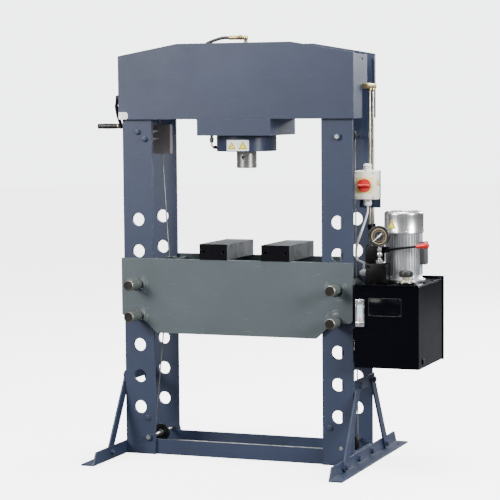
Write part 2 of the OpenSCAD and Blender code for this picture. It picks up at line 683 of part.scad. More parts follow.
module pulley(p) translate([p[0], sheave_t / 2, p[1]]) rotate([90, 0, 0]) rotate_extrude() polygon([
    [shaft_r + run_gap, 0], [16, 0], [16, 3], [sheave_r - 12, 3], [sheave_r - 10, 0], [sheave_rim, 0], [sheave_rim, 1.5],
    [sheave_r - rope_r - 0.3, sheave_t / 2 - rope_r - 0.3], [sheave_r - rope_r - 0.3, sheave_t / 2 + rope_r + 0.3],
    [sheave_rim, sheave_t - 1.5], [sheave_rim, sheave_t], [sheave_r - 10, sheave_t], [sheave_r - 12, sheave_t - 3],
    [16, sheave_t - 3], [16, sheave_t], [shaft_r + run_gap, sheave_t]]);

module pulley_bottom_left() color("#333333") pulley(pulley_bl);
module pulley_bottom_right() color("#333333") pulley(pulley_br);
module pulley_top_right() color("#333333") pulley(pulley_tr);

// ---- switch and cable ----

module switch_box() color("gainsboro") difference() {
    union() {
        box([switch_x[0], switch_y[0] + 22, switch_z[0]], [switch_x[1], switch_y[1], switch_z[1]]);
        box([switch_x[0] + 1, switch_y[0], switch_z[0] + 1], [switch_x[1] - 1, switch_y[0] + 23, switch_z[1] - 1]);
    }
    box([switch_x[0] + 4, switch_y[0] + 4, switch_z[0] + 4], [switch_x[1] - 4, switch_y[1] - 4, switch_z[1] - 4]);
    rod_y(switch_mid[0], switch_mid[1], switch_y[0] - 1, switch_y[0] + 5, 8);
    for (dx = [-42, 42]) for (dz = [-58, 58])
        rod_y(switch_mid[0] + dx, switch_mid[1] + dz, switch_y[0] - 1, switch_y[0] + 3, 4);
}

// Yellow disc and red grip on one spindle
module switch_knob() color("red") {
    rod_y(switch_mid[0], switch_mid[1], switch_y[0] - 3, switch_y[0] - 0.3, 37);
    rod_y(switch_mid[0], switch_mid[1], switch_y[0] - 12, switch_y[0] - 3, 31);
    box([switch_mid[0] - 29, switch_y[0] - 30, switch_mid[1] - 8], [switch_mid[0] + 29, switch_y[0] - 12, switch_mid[1] + 8]);
    rod_y(switch_mid[0], switch_mid[1], switch_y[0] - 0.3, switch_y[0] + 20, 7.5);
}

module cable_glands() color("white") {
    // above the switch
    translate([gland_at[0], gland_at[1], switch_z[1]]) cylinder(h = 8, r = 21, $fn = 6);
    translate([gland_at[0], gland_at[1], switch_z[1] + 8]) cylinder(h = 14, r = 20);
    translate([gland_at[0], gland_at[1], switch_z[1] + 22]) cylinder(h = 10, r1 = 20, r2 = 13);
    // below the switch, with the cable through it
    translate([gland_at[0], gland_at[1], switch_z[0] - 8]) cylinder(h = 8, r = 20, $fn = 6);
    translate([gland_at[0], gland_at[1], switch_z[0] - 34]) cylinder(h = 26, r1 = 13, r2 = 19);
    // the plug at the cable's lower end
    translate([588, -102, 884]) cube([34, 28, 24]);
}

module control_cable() color("darkgray") tube_along(cable_path, cable_r);

// ---- power unit ----

module tank() color("#111111") difference() {
    union() {
        box([tank_x, -tank_d / 2, tank_z], [tank_x + tank_w, tank_d / 2, lid_z]);
        // welded end plates stand a little proud of the wrapped sheet
        box([tank_x - 4, tank_d / 2 - 4, tank_z - 4], [tank_x + tank_w + 5, tank_d / 2, lid_z + 16]);
    }
    box([tank_x + wall, -tank_d / 2 + wall, tank_z + wall], [tank_x + tank_w - wall, tank_d / 2 - 4, lid_z + 1]);
}

module tank_lid() color("#111111") difference() {
    union() {
        box([tank_x, -tank_d / 2 - 4, lid_z], [tank_x + tank_w, tank_d / 2 - 4, deck_z]);
        translate([filler_at[0], filler_at[1], deck_z]) cylinder(h = 9, r = 42);
        translate([filler_at[0], filler_at[1], lid_z - 60]) cylinder(h = 66, r = 24);
    }
    translate([motor_x, 0, lid_z - 1]) cylinder(h = lid_t + 2, r = 62);
    translate([filler_at[0], filler_at[1], lid_z - 58]) cylinder(h = 80, r = 22);
}

// Bracket that carries the tank, and the plate and arm that carry the switch
module side_brackets() color("slategray") {
    box([post_x, -post_y, 640], [post_x + 10, post_y, 700]);
    box([post_x, -post_y, 770], [post_x + 10, post_y, 830]);
    for (y = [-110, 110]) box([post_x + 10, y - 20, 600], [tank_x, y + 20, 840]);
    box([switch_x[0] + 2, switch_y[1], 1190], [switch_x[1] + 3, switch_y[1] + 4, switch_z[1]]);
    box([post_x, switch_y[1] + 4, 1260], [post_x + 4, post_y, 1330]);
}

// Sight glass between two end blocks, on a plate
module level_gauge() color("whitesmoke") translate([626, -tank_d / 2, 722]) difference() {
    union() {
        box([-21, -6, -63], [21, 0, 63]);
        box([-21, -18, 40], [21, -6, 63]);
        box([-21, -18, -63], [21, -6, -40]);
        translate([0, -12, -41]) cylinder(h = 82, r = 8);
    }
    for (z = [-51, 51]) rod_y(0, z, -19, -14, 5);
}

fins = 44;
function fin_points() = [for (i = [0:fins - 1]) let (a = 360 * i / fins, d = 1.3) each
    [[72 * cos(a - 2.6), 72 * sin(a - 2.6)], [motor_d / 2 - 5, 0] * 0 + [(motor_d / 2 - 5) * cos(a - d), (motor_d / 2 - 5) * sin(a - d)],
     [(motor_d / 2 - 5) * cos(a + d), (motor_d / 2 - 5) * sin(a + d)], [72 * cos(a + 2.6), 72 * sin(a + 2.6)]]];

module motor_body() color("silver") {
    difference() {
        union() {
            translate([motor_x, 0, fin_z[0]]) linear_extrude(fin_z[1] - fin_z[0]) polygon(fin_points());
            translate([motor_x, 0, deck_z]) cylinder(h = fin_z[0] - deck_z, r = 98);
            translate([motor_x, 0, fin_z[1] - eps]) cylinder(h = 8, r = 84);
        }
        translate([motor_x, 0, fin_z[0] - 4]) cylinder(h = fin_z[1] - fin_z[0] + 13, r = 54);
        translate([motor_x, 0, deck_z - 1]) cylinder(h = 30, r = 30);
        for (a = [45:90:315]) translate([motor_x + 86 * cos(a), 86 * sin(a), deck_z - 1]) cylinder(h = 40, r = 5);
    }
    // terminal box on the right side
    box([motor_x + 88, -36, 930], [motor_x + 112, 40, 1036]);
}

// Pressed fan cover with a ring of slots in its top
module motor_hood() color("lightgray") translate([motor_x, 0, 0]) difference() {
    rotate_extrude() polygon([[motor_d / 2 - 2, hood_z[0]], [motor_d / 2, hood_z[0]], [motor_d / 2, hood_z[1] - 14],
        [motor_d / 2 - 12, hood_z[1]], [0, hood_z[1]], [0, hood_z[1] - 2], [motor_d / 2 - 13, hood_z[1] - 2],
        [motor_d / 2 - 2, hood_z[1] - 15]]);
    for (a = [0:30:330]) rotate([0, 0, a]) for (r = [26, 44, 62])
        translate([r, 0, hood_z[1] - 4]) cylinder(h = 6, r = 5);
}

module motor_rotor() color("gray") translate([motor_x, 0, 0]) {
    translate([0, 0, 800]) cylinder(h = 342, r = 12);
    for (s = [[900, 150, 50], [1086, 6, 20]]) translate([0, 0, s[0]]) difference() {
        cylinder(h = s[1], r = s[2]);
        translate([0, 0, -1]) cylinder(h = s[1] + 2, r = 12);
    }
    // cooling fan
    difference() {
        union() {
            translate([0, 0, 1104]) cylinder(h = 4, r = 74);
            translate([0, 0, 1104]) cylinder(h = 30, r = 22);
            for (a = [0:45:315]) rotate([0, 0, a]) box([20, -1.5, 1107], [74, 1.5, 1134]);
        }
        translate([0, 0, 1100]) cylinder(h = 40, r = 12);
    }
}

// Gear pump under the lid, with its suction strainer
module pump() color("dimgray") translate([motor_x, 0, 0]) difference() {
    union() {
        translate([0, 0, 770]) cylinder(h = lid_z - 770, r = 60);
        box([-45, -45, 690], [45, 45, 771]);
        translate([0, -70, 520]) cylinder(h = 130, r = 28);
        translate([0, -70, 649]) cylinder(h = 60, r = 10);
        box([-14, -84, 700], [14, -40, 728]);
    }
    translate([0, 0, 780]) cylinder(h = 100, r = 40);
    translate([0, 0, 760]) cylinder(h = 100, r = 12 + bearing_gap);
}

module filler_cap() color("#222222") translate([filler_at[0], filler_at[1], deck_z + 9.3]) {
    cylinder(h = 8, r = 33);
    translate([0, 0, 8 - eps]) cylinder(h = 18, r = 22);
    translate([0, 0, 26 - 2 * eps]) cylinder(h = 24, r = 30);
    translate([0, 0, 50 - 3 * eps]) cylinder(h = 6, r1 = 30, r2 = 22);
    translate([0, 0, -30]) cylinder(h = 30 + eps, r = 20);
}

// Manifold on the lid with the hand valve on top of it and its relief valve at the side
module valve_block() color("#1c1c1c") {
    box([640, -176, deck_z], [736, -100, 944]);
    box([626, -134, 944], [704, -76, 1020]);
    difference() {
        for (y = [-134, -98]) {
            box([703, y, 990], [718, y + 12, 1016]);
            rod_y(lever_at[0], lever_at[2], y, y + 12, 13);
        }
        rod_y(lever_at[0], lever_at[2], -140, -80, 4 + bearing_gap);
    }
    rod_x(-138, 900, 612, 641, 16);
    hex_x(-138, 900, 602, 612, 24);
    rod_y(640, 973, -77, -69, 9);
    rod_y(662, 931, -101, -88, 9);
    translate([gauge_at[0], gauge_at[1], 943]) cylinder(h = 31, r = 15, $fn = 6);
    translate([gauge_at[0], gauge_at[1], 973]) cylinder(h = gauge_at[2] - gauge_d / 2 - 973, r = 8);
    translate([gauge_at[0], gauge_at[1], 986]) cylinder(h = 20, r = 12);
}

// Steel rod with a plastic grip, pivoted in the valve's fork
module valve_lever() color("red") translate(lever_at) rotate([0, -lever_rise, 0]) {
    rod_x(0, 0, 0, lever_l - 62, 5);
    translate([lever_l - 62, 0, 0]) rotate([0, 90, 0]) rotate_extrude() polygon([
        [0, 0], [8, 0], [11, 10], [12, 40], [14, 50], [14, 56], [10, 61], [0, 62]]);
    rod_y(0, 0, -10, 10, 9);
    rod_y(0, 0, -27, 27, 4);
}

module gauge_case() color("#2a2a2a") translate(gauge_at) {
    difference() {
        rod_y(0, 0, -gauge_t / 2, gauge_t / 2, gauge_d / 2);
        rod_y(0, 0, -gauge_t / 2 - 1, -gauge_t / 2 + 8, gauge_d / 2 - 7);
    }
    rod_y(0, 0, -gauge_t / 2 + 8 - eps, -gauge_t / 2 + 11, 3);
}

// Pointer on its boss, just over the dial
module gauge_needle() color("white") translate([gauge_at[0], gauge_at[1] - gauge_t / 2 + 4, gauge_at[2]]) rotate([0, -40, 0]) {
    box([-34, -1, -1.6], [14, 1, 1.6]);
    rod_y(0, 0, -1.5, 3, 5);
}

beam_front_plate();
beam_rear_plate();
beam_end_plates();
cylinder_mount();
post_front_left();
post_front_right();
post_rear_left();
post_rear_right();
base_channel();
foot_left();
foot_right();
foot_braces();
axles_and_bolts();
cylinder_barrel();
cylinder_gland();
ram_rod();
piston();
ram_nose();
port_fittings();
top_hose();
steel_pipes();
valve_hoses();
table_front_plate();
table_rear_plate();
table_spacers();
block_left();
block_right();
pin_upper_left();
pin_lower_left();
pin_upper_right();
pin_lower_right();
crank_arm();
crank_grip();
rope_drum();
winch_frame();
rope_guard();
lift_rope();
table_rope_left();
table_rope_right();
guide_rope();
pulley_bottom_left();
pulley_bottom_right();
pulley_top_right();
switch_box();
switch_knob();
cable_glands();
control_cable();
tank();
tank_lid();
side_brackets();
level_gauge();
motor_body();
motor_hood();
motor_rotor();
pump();
filler_cap();
valve_block();
valve_lever();
gauge_case();
gauge_needle();
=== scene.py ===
"""Electro-hydraulic shop press: painted H-frame, pinned table, cylinder, winch and power unit."""
import math

import bmesh
import bpy
from mathutils import Matrix, Vector


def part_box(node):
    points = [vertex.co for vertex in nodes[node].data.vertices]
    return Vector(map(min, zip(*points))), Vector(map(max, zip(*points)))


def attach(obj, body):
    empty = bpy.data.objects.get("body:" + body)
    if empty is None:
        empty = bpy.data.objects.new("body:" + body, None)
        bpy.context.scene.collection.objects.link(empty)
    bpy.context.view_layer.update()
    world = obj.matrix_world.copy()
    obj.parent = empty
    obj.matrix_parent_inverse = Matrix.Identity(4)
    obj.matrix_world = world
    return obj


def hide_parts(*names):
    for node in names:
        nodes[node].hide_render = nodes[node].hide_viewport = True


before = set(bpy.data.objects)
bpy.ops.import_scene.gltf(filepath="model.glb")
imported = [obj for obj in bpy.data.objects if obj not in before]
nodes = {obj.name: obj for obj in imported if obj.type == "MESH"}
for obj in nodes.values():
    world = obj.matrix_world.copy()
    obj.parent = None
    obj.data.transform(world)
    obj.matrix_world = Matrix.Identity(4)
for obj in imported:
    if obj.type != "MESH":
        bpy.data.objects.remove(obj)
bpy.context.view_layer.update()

# ---- camera ----------------------------------------------------------------
# A long lens, standing to the right of the press at the height of the crank and
# looking slightly down.
yaw = 0.3627
pitch = 0.0777
roll = -0.0081
stand = (3.1943, -8.3842, 1.6781)
forward = Vector((-math.sin(yaw) * math.cos(pitch), math.cos(yaw) * math.cos(pitch), -math.sin(pitch)))
level_right = Vector((math.cos(yaw), math.sin(yaw), 0))
level_up = level_right.cross(forward)
right = level_right * math.cos(roll) + level_up * math.sin(roll)
up = level_up * math.cos(roll) - level_right * math.sin(roll)
camera_data = bpy.data.cameras.new("camera")
camera_data.sensor_width = 36
camera_data.lens = 136.39
camera_data.clip_end = 60
camera = bpy.data.objects.new("camera", camera_data)
camera.matrix_world = Matrix((
    (right.x, up.x, -forward.x, stand[0]),
    (right.y, up.y, -forward.y, stand[1]),
    (right.z, up.z, -forward.z, stand[2]),
    (0, 0, 0, 1),
))
bpy.context.scene.collection.objects.link(camera)
bpy.context.scene.camera = camera

# ---- floor and light -------------------------------------------------------
# A pale seamless floor in a white studio. The walls the steel mirrors are dark, as behind
# flags, so that the softboxes draw clear highlights between darker edges.
floor_mesh = bpy.data.meshes.new("floor")
bm = bmesh.new()
bmesh.ops.create_circle(bm, cap_ends=True, segments=96, radius=30)
bm.to_mesh(floor_mesh)
bm.free()
floor = bpy.data.objects.new("floor", floor_mesh)
bpy.context.scene.collection.objects.link(floor)

floor_material = bpy.data.materials.new("studio_floor")
floor_material.use_nodes = True
tree = floor_material.node_tree
tree.nodes.clear()
place = tree.nodes.new("ShaderNodeTexCoord")
place.label = "place on the floor"
cloud = tree.nodes.new("ShaderNodeTexNoise")
cloud.label = "faint unevenness of the paper"
cloud.inputs["Scale"].default_value = 0.8
cloud.inputs["Detail"].default_value = 3
tone = tree.nodes.new("ShaderNodeValToRGB")
tone.label = "pale paper tones"
tone.color_ramp.elements[0].color = (0.93, 0.93, 0.93, 1)
tone.color_ramp.elements[1].color = (0.96, 0.96, 0.96, 1)
seen = tree.nodes.new("ShaderNodeLightPath")
seen.label = "seen straight on, or only mirrored"
flag = tree.nodes.new("ShaderNodeMix")
flag.label = "dark flags lie where the steel mirrors the floor"
flag.data_type = "RGBA"
flag.inputs["A"].default_value = (0.16, 0.16, 0.17, 1)
lift = tree.nodes.new("ShaderNodeMath")
lift.label = "paper lit from behind"
lift.operation = "MULTIPLY"
lift.inputs[1].default_value = 3.4
paper = tree.nodes.new("ShaderNodeBsdfPrincipled")
paper.label = "matt paper"
paper.inputs["Roughness"].default_value = 0.9
paper.inputs["Specular IOR Level"].default_value = 0.1
paper.inputs["Emission Color"].default_value = (1, 1, 1, 1)
out = tree.nodes.new("ShaderNodeOutputMaterial")
out.label = "finished floor"
for title, members, row in (("paper", (cloud, tone), 0), ("bright where seen, dark where mirrored",
                                                          (seen, flag, lift), -300)):
    group = tree.nodes.new("NodeFrame")
    group.label = title
    for i, n in enumerate(members):
        n.parent = group
        n.location = (i * 220, row)
place.location = (-260, 0)
paper.location = (900, 0)
out.location = (1200, 0)
tree.links.new(place.outputs["Object"], cloud.inputs["Vector"])
tree.links.new(cloud.outputs["Fac"], tone.inputs["Fac"])
tree.links.new(tone.outputs["Color"], flag.inputs["B"])
tree.links.new(seen.outputs["Is Camera Ray"], flag.inputs["Factor"])
tree.links.new(seen.outputs["Is Camera Ray"], lift.inputs[0])
tree.links.new(flag.outputs["Result"], paper.inputs["Base Color"])
tree.links.new(lift.outputs["Value"], paper.inputs["Emission Strength"])
tree.links.new(paper.outputs["BSDF"], out.inputs["Surface"])
floor_mesh.materials.append(floor_material)

world = bpy.data.worlds.new("studio")
bpy.context.scene.world = world
world.use_nodes = True
tree = world.node_tree
sky = tree.nodes["Background"]
sky.label = "studio light"
sky.inputs["Color"].default_value = (0.95, 0.97, 1.0, 1)
way = tree.nodes.new("ShaderNodeTexCoord")
way.label = "direction in the studio"
height = tree.nodes.new("ShaderNodeSeparateXYZ")
height.label = "height above the horizon"
walls = tree.nodes.new("ShaderNodeMapRange")
walls.label = "dim walls, brighter ceiling"
walls.inputs["From Min"].default_value = 0.15
walls.inputs["From Max"].default_value = 0.9
walls.inputs["To Min"].default_value = 0.26
walls.inputs["To Max"].default_value = 1.1
seen = tree.nodes.new("ShaderNodeLightPath")
seen.label = "seen straight on, or only mirrored"
backdrop = tree.nodes.new("ShaderNodeMix")
backdrop.label = "white backdrop"
backdrop.inputs["B"].default_value = 4.5
for title, members, row in (("walls and ceiling", (height, walls), 0),
                            ("backdrop", (seen, backdrop), -300)):
    group = tree.nodes.new("NodeFrame")
    group.label = title
    for i, n in enumerate(members):
        n.parent = group
        n.location = (i * 220 - 700, row)
way.location = (-960, 0)
tree.links.new(way.outputs["Generated"], height.inputs["Vector"])
tree.links.new(height.outputs["Z"], walls.inputs["Value"])
tree.links.new(walls.outputs["Result"], backdrop.inputs["A"])
tree.links.new(seen.outputs["Is Camera Ray"], backdrop.inputs["Factor"])
tree.links.new(backdrop.outputs["Result"], sky.inputs["Strength"])

for name, place, aim, size, power, tint in (
    ("key_softbox", (-4.2, -6.2, 4.0), (0, 0, 1.0), 3.0, 800, (1.0, 0.98, 0.95)),
    ("side_softbox", (6.0, -2.6, 3.0), (0.4, 0, 1.2), 2.0, 560, (0.94, 0.97, 1.0)),
    ("rear_softbox", (2.6, 6.2, 3.8), (0, 0, 1.0), 3.0, 500, (0.96, 0.98, 1.0)),
    ("top_strip", (0, 0.2, 4.6), (0, 0, 1.0), 2.2, 280, (1.0, 1.0, 1.0)),
):
    lamp_data = bpy.data.lights.new(name, "AREA")
    lamp_data.shape = "SQUARE"
    lamp_data.size = size
    lamp_data.energy = power
    lamp_data.color = tint
    lamp = bpy.data.objects.new(name, lamp_data)
    lamp.location = place
    lamp.rotation_euler = (Vector(aim) - Vector(place)).to_track_quat("-Z", "Y").to_euler()
    bpy.context.scene.collection.objects.link(lamp)

# ---- head beam -------------------------------------------------------------
# Two flame-cut plates with sloping shoulders, welded to the posts and end plates,
# sprayed blue-grey. The finish is a semi-gloss shop paint over rolled steel.


def painted_steel(name, coat, worn, roughness, wear, shine=0.5):
    """Sprayed paint on rolled plate: slow tone drift, orange peel, rubbed edges and light scratches."""
    material = bpy.data.materials.new(name)
    material.use_nodes = True
    tree = material.node_tree
    tree.nodes.clear()
    place = tree.nodes.new("ShaderNodeTexCoord")
    place.label = "place on the steel"

    drift = tree.nodes.new("ShaderNodeTexNoise")
    drift.label = "uneven spray coat"
    drift.inputs["Scale"].default_value = 2.6
    drift.inputs["Detail"].default_value = 5
    drift.inputs["Roughness"].default_value = 0.6
    drift_range = tree.nodes.new("ShaderNodeMapRange")
    drift_range.label = "how far the coat's tone drifts"
    drift_range.inputs["From Min"].default_value = 0.3
    drift_range.inputs["From Max"].default_value = 0.7
    drift_range.inputs["To Min"].default_value = 0.86
    drift_range.inputs["To Max"].default_value = 1.1
    coat_tone = tree.nodes.new("ShaderNodeMix")
    coat_tone.label = "coat colour with its drift"
    coat_tone.data_type = "RGBA"
    coat_tone.blend_type = "MULTIPLY"
    coat_tone.inputs["Factor"].default_value = 1
    coat_tone.inputs["A"].default_value = (*coat, 1)

    stretch = tree.nodes.new("ShaderNodeMapping")
    stretch.label = "long thin handling marks"
    stretch.inputs["Scale"].default_value = (6, 6, 90)
    stretch.inputs["Rotation"].default_value = (0.1, 0.35, 0)
    scratch = tree.nodes.new("ShaderNodeTexNoise")
    scratch.label = "scratches"
    scratch.inputs["Scale"].default_value = 3
    scratch.inputs["Detail"].default_value = 6
    scratch.inputs["Distortion"].default_value = 0.6
    scratch_cut = tree.nodes.new("ShaderNodeValToRGB")
    scratch_cut.label = "only the deepest scratches show"
    scratch_cut.color_ramp.elements[0].position = 0.66
    scratch_cut.color_ramp.elements[1].position = 0.72
    scratch_amount = tree.nodes.new("ShaderNodeMath")
    scratch_amount.label = "how strong the scratches are"
    scratch_amount.operation = "MULTIPLY"
    scratch_amount.inputs[1].default_value = 0.35 * wear

    soft_edge = tree.nodes.new("ShaderNodeBevel")
    soft_edge.label = "rounding the brush can reach"
    soft_edge.samples = 4
    soft_edge.inputs["Radius"].default_value = 0.003
    surface = tree.nodes.new("ShaderNodeNewGeometry")
    surface.label = "true facing of the steel"
    facing = tree.nodes.new("ShaderNodeVectorMath")
    facing.label = "flatness: 1 away from edges"
    facing.operation = "DOT_PRODUCT"
    edge = tree.nodes.new("ShaderNodeMapRange")
    edge.label = "edge band"
    edge.inputs["From Min"].default_value = 0.995
    edge.inputs["From Max"].default_value = 0.90
    patch = tree.nodes.new("ShaderNodeTexNoise")
    patch.label = "where edges have been knocked"
    patch.inputs["Scale"].default_value = 38
    patch.inputs["Detail"].default_value = 4
    patch_cut = tree.nodes.new("ShaderNodeMapRange")
    patch_cut.label = "knocked spots only"
    patch_cut.inputs["From Min"].default_value = 0.52
    patch_cut.inputs["From Max"].default_value = 0.60
    knocked = tree.nodes.new("ShaderNodeMath")
    knocked.label = "knocked edge"
    knocked.operation = "MULTIPLY"
    knocked_amount = tree.nodes.new("ShaderNodeMath")
    knocked_amount.label = "how worn the edges are"
    knocked_amount.operation = "MULTIPLY"
    knocked_amount.inputs[1].default_value = wear
    marks = tree.nodes.new("ShaderNodeMath")
    marks.label = "scratches and knocks together"
    marks.operation = "MAXIMUM"
    worn_tone = tree.nodes.new("ShaderNodeMix")
    worn_tone.label = "primer and steel through the coat"
    worn_tone.data_type = "RGBA"
    worn_tone.inputs["B"].default_value = (*worn, 1)

    dust = tree.nodes.new("ShaderNodeTexNoise")
    dust.label = "dull handled patches"
    dust.inputs["Scale"].default_value = 9
    dust.inputs["Detail"].default_value = 6
    gloss = tree.nodes.new("ShaderNodeMapRange")
    gloss.label = "gloss from patch to patch"
    gloss.inputs["To Min"].default_value = roughness - 0.08
    gloss.inputs["To Max"].default_value = roughness + 0.14
    peel = tree.nodes.new("ShaderNodeTexNoise")
    peel.label = "orange peel of the spray"
    peel.inputs["Scale"].default_value = 420
    peel.inputs["Detail"].default_value = 2
    peel_bump = tree.nodes.new("ShaderNodeBump")
    peel_bump.label = "orange peel height"
    peel_bump.inputs["Strength"].default_value = 0.12
    peel_bump.inputs["Distance"].default_value = 0.0004
    rolled = tree.nodes.new("ShaderNodeTexNoise")
    rolled.label = "mill scale waviness under the paint"
    rolled.inputs["Scale"].default_value = 30
    rolled.inputs["Detail"].default_value = 3
    rolled_bump = tree.nodes.new("ShaderNodeBump")
    rolled_bump.label = "waviness height"
    rolled_bump.inputs["Strength"].default_value = 0.12
    rolled_bump.inputs["Distance"].default_value = 0.002

    paint = tree.nodes.new("ShaderNodeBsdfPrincipled")
    paint.label = "shop paint"
    paint.inputs["Specular IOR Level"].default_value = shine
    out = tree.nodes.new("ShaderNodeOutputMaterial")
    out.label = "finished steel"

    for title, members, row in (
        ("coat colour", (drift, drift_range, coat_tone), 400),
        ("scratches", (stretch, scratch, scratch_cut, scratch_amount), 100),
        ("rubbed edges", (soft_edge, surface, facing, edge, patch, patch_cut, knocked, knocked_amount),
         -200),
        ("wear", (marks, worn_tone), 250),
        ("gloss", (dust, gloss), -550),
        ("paint surface", (peel, peel_bump, rolled, rolled_bump), -850),
    ):
        group = tree.nodes.new("NodeFrame")
        group.label = title
        for i, n in enumerate(members):
            n.parent = group
            n.location = (i * 210 + (1800 if title == "wear" else 0), row)
    place.location = (-260, 0)
    paint.location = (2400, 0)
    out.location = (2700, 0)

    tree.links.new(place.outputs["Object"], drift.inputs["Vector"])
    tree.links.new(drift.outputs["Fac"], drift_range.inputs["Value"])
    tree.links.new(drift_range.outputs["Result"], coat_tone.inputs["B"])
    tree.links.new(place.outputs["Object"], stretch.inputs["Vector"])
    tree.links.new(stretch.outputs["Vector"], scratch.inputs["Vector"])
    tree.links.new(scratch.outputs["Fac"], scratch_cut.inputs["Fac"])
    tree.links.new(scratch_cut.outputs["Color"], scratch_amount.inputs[0])
    tree.links.new(soft_edge.outputs["Normal"], facing.inputs[0])
    tree.links.new(surface.outputs["True Normal"], facing.inputs[1])
    tree.links.new(facing.outputs["Value"], edge.inputs["Value"])
    tree.links.new(place.outputs["Object"], patch.inputs["Vector"])
    tree.links.new(patch.outputs["Fac"], patch_cut.inputs["Value"])
    tree.links.new(edge.outputs["Result"], knocked.inputs[0])
    tree.links.new(patch_cut.outputs["Result"], knocked.inputs[1])
    tree.links.new(knocked.outputs["Value"], knocked_amount.inputs[0])
    tree.links.new(scratch_amount.outputs["Value"], marks.inputs[0])
    tree.links.new(knocked_amount.outputs["Value"], marks.inputs[1])
    tree.links.new(coat_tone.outputs["Result"], worn_tone.inputs["A"])
    tree.links.new(marks.outputs["Value"], worn_tone.inputs["Factor"])
    tree.links.new(worn_tone.outputs["Result"], paint.inputs["Base Color"])
    tree.links.new(place.outputs["Object"], dust.inputs["Vector"])
    tree.links.new(dust.outputs["Fac"], gloss.inputs["Value"])
    tree.links.new(gloss.outputs["Result"], paint.inputs["Roughness"])
    tree.links.new(place.outputs["Object"], peel.inputs["Vector"])
    tree.links.new(place.outputs["Object"], rolled.inputs["Vector"])
    tree.links.new(rolled.outputs["Fac"], rolled_bump.inputs["Height"])
    tree.links.new(soft_edge.outputs["Normal"], rolled_bump.inputs["Normal"])
    tree.links.new(peel.outputs["Fac"], peel_bump.inputs["Height"])
    tree.links.new(rolled_bump.outputs["Normal"], peel_bump.inputs["Normal"])
    tree.links.new(peel_bump.outputs["Normal"], paint.inputs["Normal"])
    tree.links.new(paint.outputs["BSDF"], out.inputs["Surface"])
    return material


frame_paint = painted_steel("frame_blue_grey", (0.0225, 0.0325, 0.0650), (0.16, 0.18, 0.22), 0.44, 0.45,
                            0.4)
for name in ("beam_front_plate", "beam_rear_plate", "beam_end_plates", "cylinder_mount", "side_brackets",
             "post_front_left", "post_front_right", "post_rear_left", "post_rear_right",
             "base_channel", "foot_left", "foot_right", "foot_braces"):
    nodes[name].material_slots[0].material = frame_paint

# ---- table -----------------------------------------------------------------
# Two plates joined by cross plates, painted a plainer grey than the frame, and
# scored in rings round the pins where the pins are knocked in and out.
table_paint = painted_steel("table_grey", (0.061, 0.078, 0.086), (0.30, 0.31, 0.29), 0.46, 0.6, 0.4)
for name in ("table_front_plate", "table_rear_plate", "table_spacers"):
    nodes[name].material_slots[0].material = table_paint

# ---- cylinder --------------------------------------------------------------
# A thick tube with a round screwed head, let into the beam from below. Both are
# painted a darker and glossier blue than the frame.
cylinder_paint = painted_steel("cylinder_dark_blue", (0.026, 0.034, 0.062), (0.26, 0.27, 0.28), 0.22, 0.4)
for name in ("cylinder_barrel", "cylinder_gland"):
    nodes[name].material_slots[0].material = cylinder_paint

# ---- tank ------------------------------------------------------------------
# A folded and welded sheet box hung on two brackets beside the right posts, with a
# flat screwed lid, all in gloss black enamel.
tank_paint = painted_steel("tank_gloss_black", (0.0018, 0.0020, 0.0036), (0.06, 0.06, 0.065), 0.12, 0.15,
                           0.05)
for name in ("tank", "tank_lid"):
    nodes[name].material_slots[0].material = tank_paint

# ---- turned and sawn steel -------------------------------------------------
# The ram and its foot are bright turned bar, and the two blocks are sawn from bar with
# dark scale left on their ends. Pulleys, drum and ropes are plain or plated steel.


